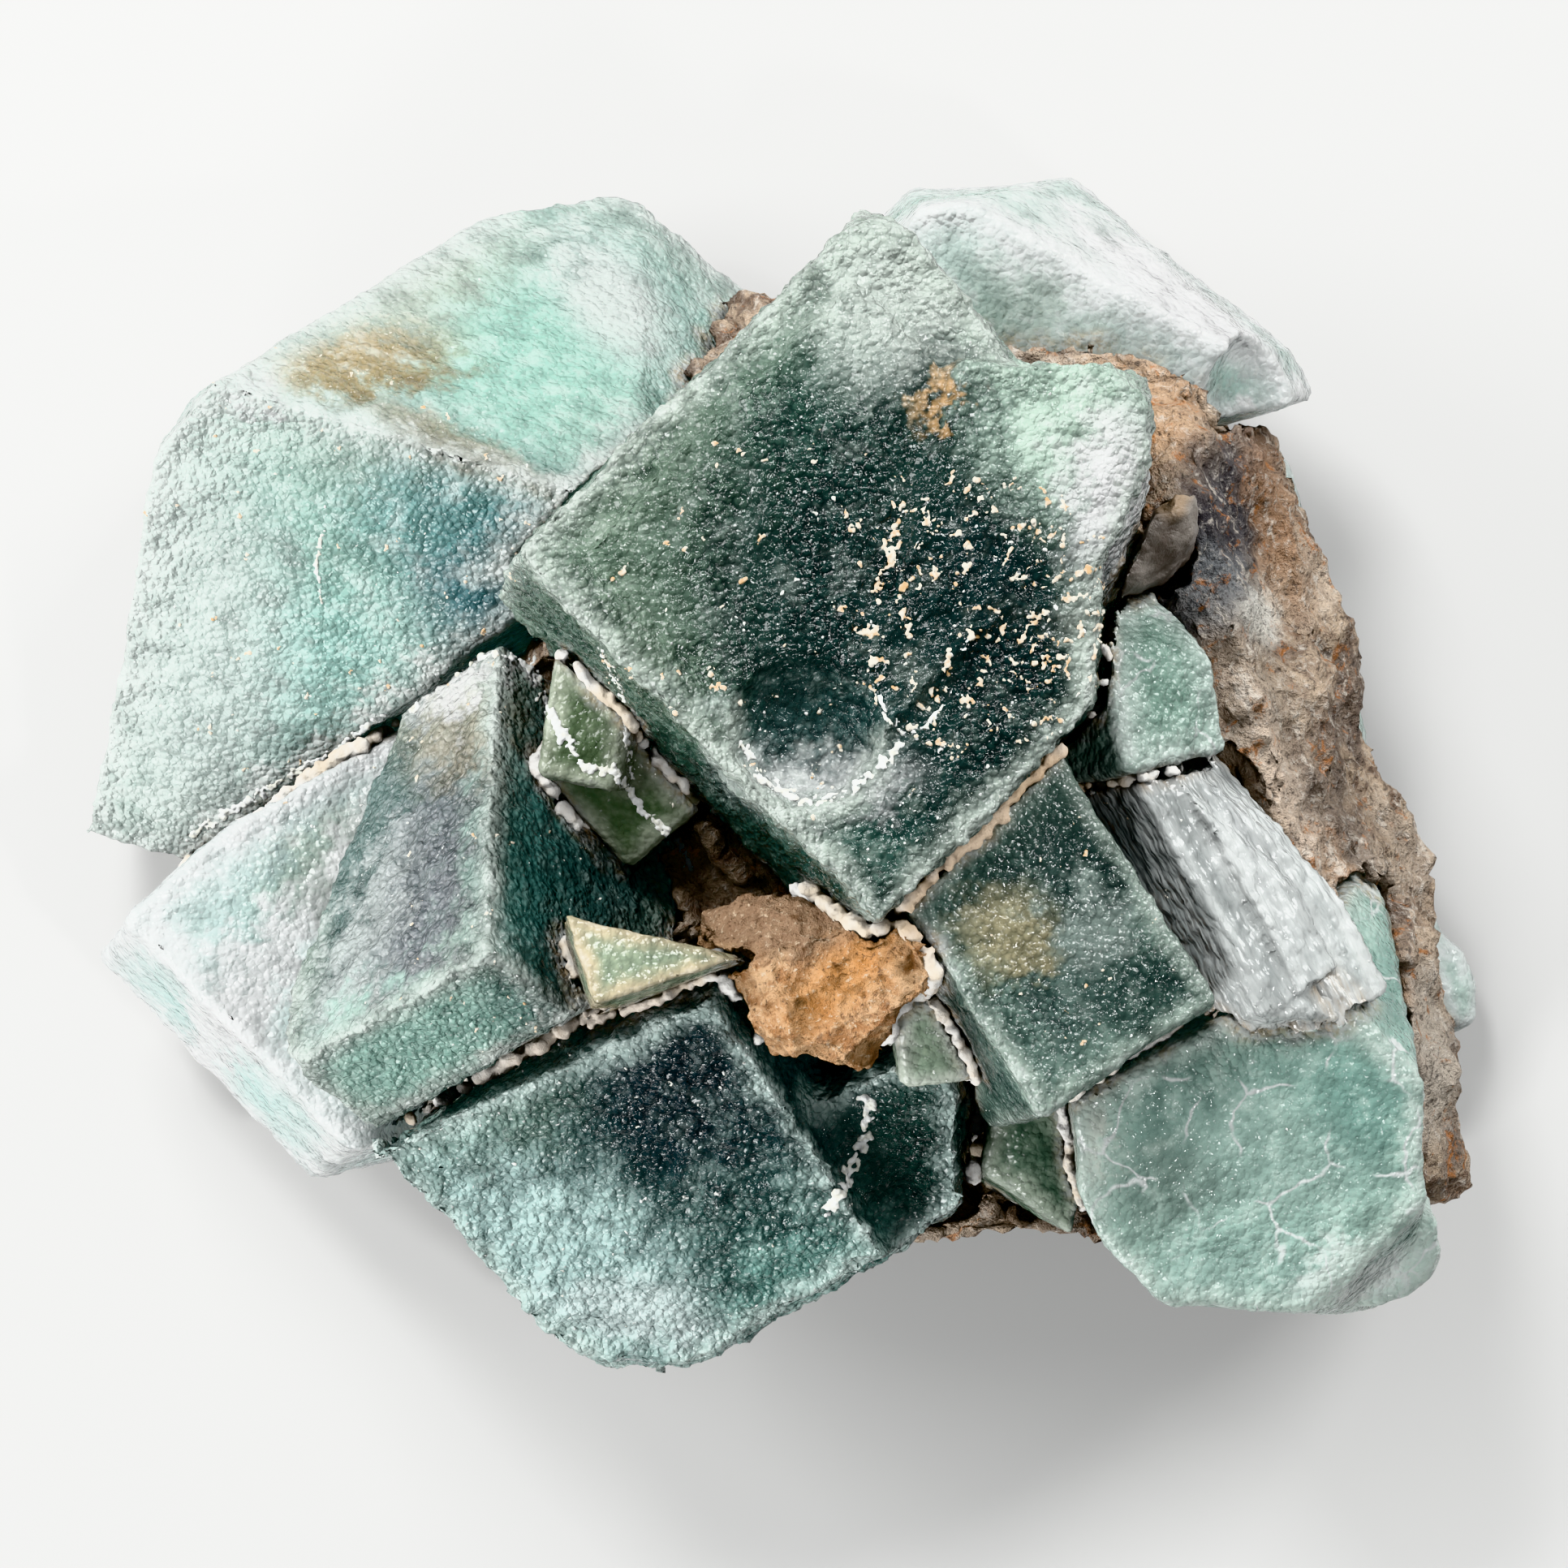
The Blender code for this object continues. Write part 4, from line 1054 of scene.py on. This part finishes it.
random.seed(11)
grains = []
for first, second, width in (
    ("crystal_lower_left", "crystal_upper_left", 1.2),
    ("crystal_left_corner", "crystal_upper_left", 1.5),
    ("crystal_left_corner", "gap_crystals", 1.0),
    ("gap_crystals", "crystal_upper_left", 1.0),
    ("gap_crystals", "crystal_centre", 0.8),
    ("crystal_left_corner", "crystal_bottom", 1.1),
    ("crystal_lower_left", "crystal_left_corner", 0.7),
    ("crystal_lower_left", "crystal_bottom", 0.9),
    ("crystal_right", "crystal_centre", 0.95),
    ("cleaved_splinter", "crystal_right", 1.0),
    ("crystal_right", "crystal_lower_right", 0.7),
    ("crystal_right_upper", "crystal_centre", 0.6),
    ("crystal_right_upper", "cleaved_splinter", 0.7),
    ("ochre_block", "crystal_centre", 1.1),
    ("ochre_block", "crystal_bottom", 1.1),
    ("ochre_block", "crystal_right", 1.1),
    ("ochre_block", "pale_chip", 0.9),
    ("ochre_block", "gap_crystals", 0.8),
    ("olive_chip", "crystal_left_corner", 0.6),
    ("olive_chip", "crystal_bottom", 0.7),
    ("pale_chip", "crystal_right", 0.8),
    ("pale_chip", "crystal_bottom", 0.8),
    ("under_crystal", "crystal_bottom", 1.2),
    ("under_crystal", "crystal_right", 1.1),
    ("under_crystal", "crystal_lower_right", 0.8),
    ("cleaved_splinter", "crystal_lower_right", 0.45),
):
    grains += seam(first, second, width)
druse = grain_crust("seam_druse", grains, 0.145, 0.10)
finish(druse, druse_material())


# The crumbs: small worm-like bits of tan and white mineral left standing on the etched faces, and
# the white lips of chips, thickest on the centre crystal.
def on_face(x, y):
    """The point of the specimen seen from above at a place, and the face's normal there."""
    best = None
    for tree in trees.values():
        spot, normal, _, _ = tree.ray_cast(Vector((x * MM, y * MM, 0.08)), Vector((0.0, 0.0, -1.0)))
        if spot is not None and (best is None or spot.z > best[0].z):
            best = (spot, normal)
    return best


def crumb(x, y, length, thick, heading):
    """A few grains of uneven size huddled on a face, some drawn out along a line."""
    found = []
    bend = random.uniform(-1.2, 1.2)
    for _ in range(int(4 + 9 * length)):
        along = random.uniform(-0.5, 0.5)
        turned = heading + bend * along
        spot_x = x + math.cos(turned) * along * length + random.gauss(0, 0.42) * thick
        spot_y = y + math.sin(turned) * along * length + random.gauss(0, 0.42) * thick
        hit = on_face(spot_x, spot_y)
        if hit:
            size = thick * random.choice((0.25, 0.4, 0.55, 0.8))
            found.append((hit[0] - hit[1] * size * random.uniform(0.0, 0.5) * MM, size))
    return found


def scatter(count, middle, spread, length, thick):
    """Many crumbs in an oval, all lying roughly one way."""
    found = []
    for _ in range(count):
        angle, far = random.uniform(0, math.tau), math.sqrt(random.random())
        x = middle[0] + spread[0] * far * math.cos(angle)
        y = middle[1] + spread[1] * far * math.sin(angle)
        long, wide = random.uniform(*length), random.uniform(*thick)
        found += crumb(x, y, long, wide, random.gauss(0.6, 0.9))
    return found


def lip(points, width, kept):
    """A broken, uneven band of small grains through points seen from above."""
    found = []
    for (x0, y0), (x1, y1) in zip(points, points[1:]):
        run = math.hypot(x1 - x0, y1 - y0)
        for step in range(max(1, int(run / (width * 0.12)))):
            along = step * width * 0.12 / run
            if math.sin(along * run * 1.9 + x0 * 3.0) + random.random() > 2 * kept:
                continue
            x = x0 + (x1 - x0) * along + random.gauss(0, 0.5) * width
            y = y0 + (y1 - y0) * along + random.gauss(0, 0.5) * width
            hit = on_face(x, y)
            if hit:
                size = width * random.choice((0.2, 0.3, 0.45, 0.65))
                found.append((hit[0] - hit[1] * size * random.uniform(0.0, 0.4) * MM, size))
    return found


def crumb_material(name, tone, dirt_tone):
    material, tree, shader, place = new_material(name)
    dirt = ramp_node(tree, noise_node(tree, place, 0.8, 4.0, 0.7), 0.42, 0.66)
    tree.links.new(mix_node(tree, dirt, tone, dirt_tone), shader.inputs["Base Color"])
    shader.inputs["Roughness"].default_value = 0.55
    bump_node(tree, noise_node(tree, place, 0.22, 4.0, 0.7), 0.1, shader)
    return material


random.seed(3)
tan = scatter(150, (11.0, 9.0), (7.4, 8.0), (0.3, 1.7), (0.10, 0.24))
tan += scatter(60, (0.0, 8.0), (11.0, 12.0), (0.1, 0.9), (0.10, 0.22))
tan += scatter(80, (-27.0, 12.0), (13.0, 14.0), (0.1, 0.5), (0.10, 0.22))
tan += scatter(30, (-17.0, -8.0), (6.0, 8.0), (0.1, 0.5), (0.10, 0.18))
tan += scatter(30, (17.0, -8.0), (6.0, 7.0), (0.1, 0.4), (0.08, 0.16))
crumbs = grain_crust("tan_crumbs", tan, 0.065, 0.06)
tan_tone = crumb_material("tan crumbs", (0.88, 0.84, 0.72), (0.66, 0.42, 0.20))
finish(crumbs, tan_tone)

white = scatter(110, (7.0, 6.0), (11.0, 11.0), (0.1, 0.9), (0.07, 0.15))
white += scatter(160, (-20.0, 12.0), (20.0, 18.0), (0.05, 0.3), (0.06, 0.13))
white += scatter(150, (-9.0, -24.0), (14.0, 9.0), (0.05, 0.5), (0.06, 0.14))
white += scatter(80, (-18.0, -10.0), (8.0, 9.0), (0.05, 0.3), (0.06, 0.12))
white += scatter(80, (20.0, -12.0), (14.0, 14.0), (0.05, 0.3), (0.06, 0.12))
for width, kept, points in (
    (0.30, 0.60, ((-2.5, 2.0), (-1.2, -0.2), (1.2, -1.6), (3.6, -0.8), (5.4, 0.6), (6.5, 2.0))),
    (0.16, 0.70, ((5.2, 4.6), (5.6, 3.2), (6.7, 2.3), (7.9, 2.8), (8.8, 4.0))),
    (0.42, 0.95, ((4.9, -18.6), (4.8, -20.4), (4.2, -22.4), (2.4, -25.4))),
    (0.16, 0.60, ((-27.0, 15.0), (-27.6, 12.6), (-27.4, 10.2))),
    (0.36, 0.70, ((-22.6, 3.6), (-20.8, 5.2), (-18.9, 6.6), (-17.1, 7.3), (-15.0, 6.5),
                  (-13.8, 4.0), (-12.3, 1.7))),
    (0.30, 0.70, ((-12.3, 1.7), (-11.3, 0.3), (-9.7, 0.3), (-8.8, -1.3), (-7.7, -2.5),
                  (-6.3, -3.8), (-5.4, -5.4))),
    (0.22, 0.70, ((-10.4, 7.2), (-9.3, 4.9), (-9.1, 2.6), (-8.8, -0.2))),
    (0.30, 0.70, ((-36.5, -3.7), (-32.0, -1.1), (-27.2, 1.5), (-23.7, 3.7))),
    (0.30, 0.70, ((-23.1, -20.6), (-20.8, -19.5), (-17.1, -17.4), (-14.3, -16.0), (-10.6, -13.4))),
):
    white += lip(points, width, kept)
flakes = grain_crust("white_flakes", white, 0.08, 0.06)
white_tone = crumb_material("white flakes", (0.92, 0.94, 0.92), (0.78, 0.78, 0.68))
finish(flakes, white_tone)


# The room: a plain pale floor, large soft lights at both sides and behind, and a camera that looks
# straight down at the specimen, which lies on its rock.
bpy.ops.object.select_all(action="DESELECT")
bpy.ops.mesh.primitive_plane_add(size=3.0, location=(0.0, 0.0, -0.0002))
floor = bpy.context.object
floor.name = "floor"
pale, _, shader, _ = new_material("pale floor")
shader.inputs["Base Color"].default_value = (0.58, 0.58, 0.57, 1.0)
shader.inputs["Roughness"].default_value = 0.7
floor.data.materials.append(pale)


def soft_light(name, place, size, power):
    """A square lamp aimed at the middle of the specimen."""
    bpy.ops.object.light_add(type="AREA", location=place)
    lamp = bpy.context.object
    lamp.name = name
    lamp.data.size = size
    lamp.data.energy = power
    heading = Vector((0.0, 0.0, 0.02)) - Vector(place)
    lamp.rotation_euler = heading.to_track_quat("-Z", "Y").to_euler()


soft_light("left softbox", (-0.38, 0.10, 0.18), 0.26, 2.2)
soft_light("right softbox", (0.30, 0.30, 0.22), 0.20, 2.2)
soft_light("front softbox", (-0.26, -0.34, 0.14), 0.20, 2.0)
soft_light("back softbox", (-0.14, 0.28, 0.36), 0.16, 2.2)
soft_light("lower lamp", (0.20, -0.16, 0.44), 0.04, 0.6)

world = bpy.data.worlds.new("studio")
bpy.context.scene.world = world
world.use_nodes = True
world.node_tree.nodes["Background"].inputs["Color"].default_value = (0.93, 0.97, 1.0, 1.0)
world.node_tree.nodes["Background"].inputs["Strength"].default_value = 0.18

bpy.ops.object.camera_add(location=(0.0, -0.00032, 0.4083), rotation=(0.0, 0.0, 0.0))
camera = bpy.context.object
camera.data.lens = 150.0
camera.data.sensor_width = 36.0
camera.data.shift_x = -1.0 / 1932.0
camera.data.shift_y = -2.5 / 1932.0
camera.data.clip_start = 0.01
bpy.context.scene.camera = camera
bpy.context.scene.view_settings.view_transform = "Khronos PBR Neutral"
cycles = bpy.context.scene.cycles
cycles.max_bounces = 3
cycles.transmission_bounces = 2
cycles.diffuse_bounces = 0
cycles.glossy_bounces = 1
cycles.caustics_refractive = False
cycles.caustics_reflective = False
cycles.use_light_tree = False
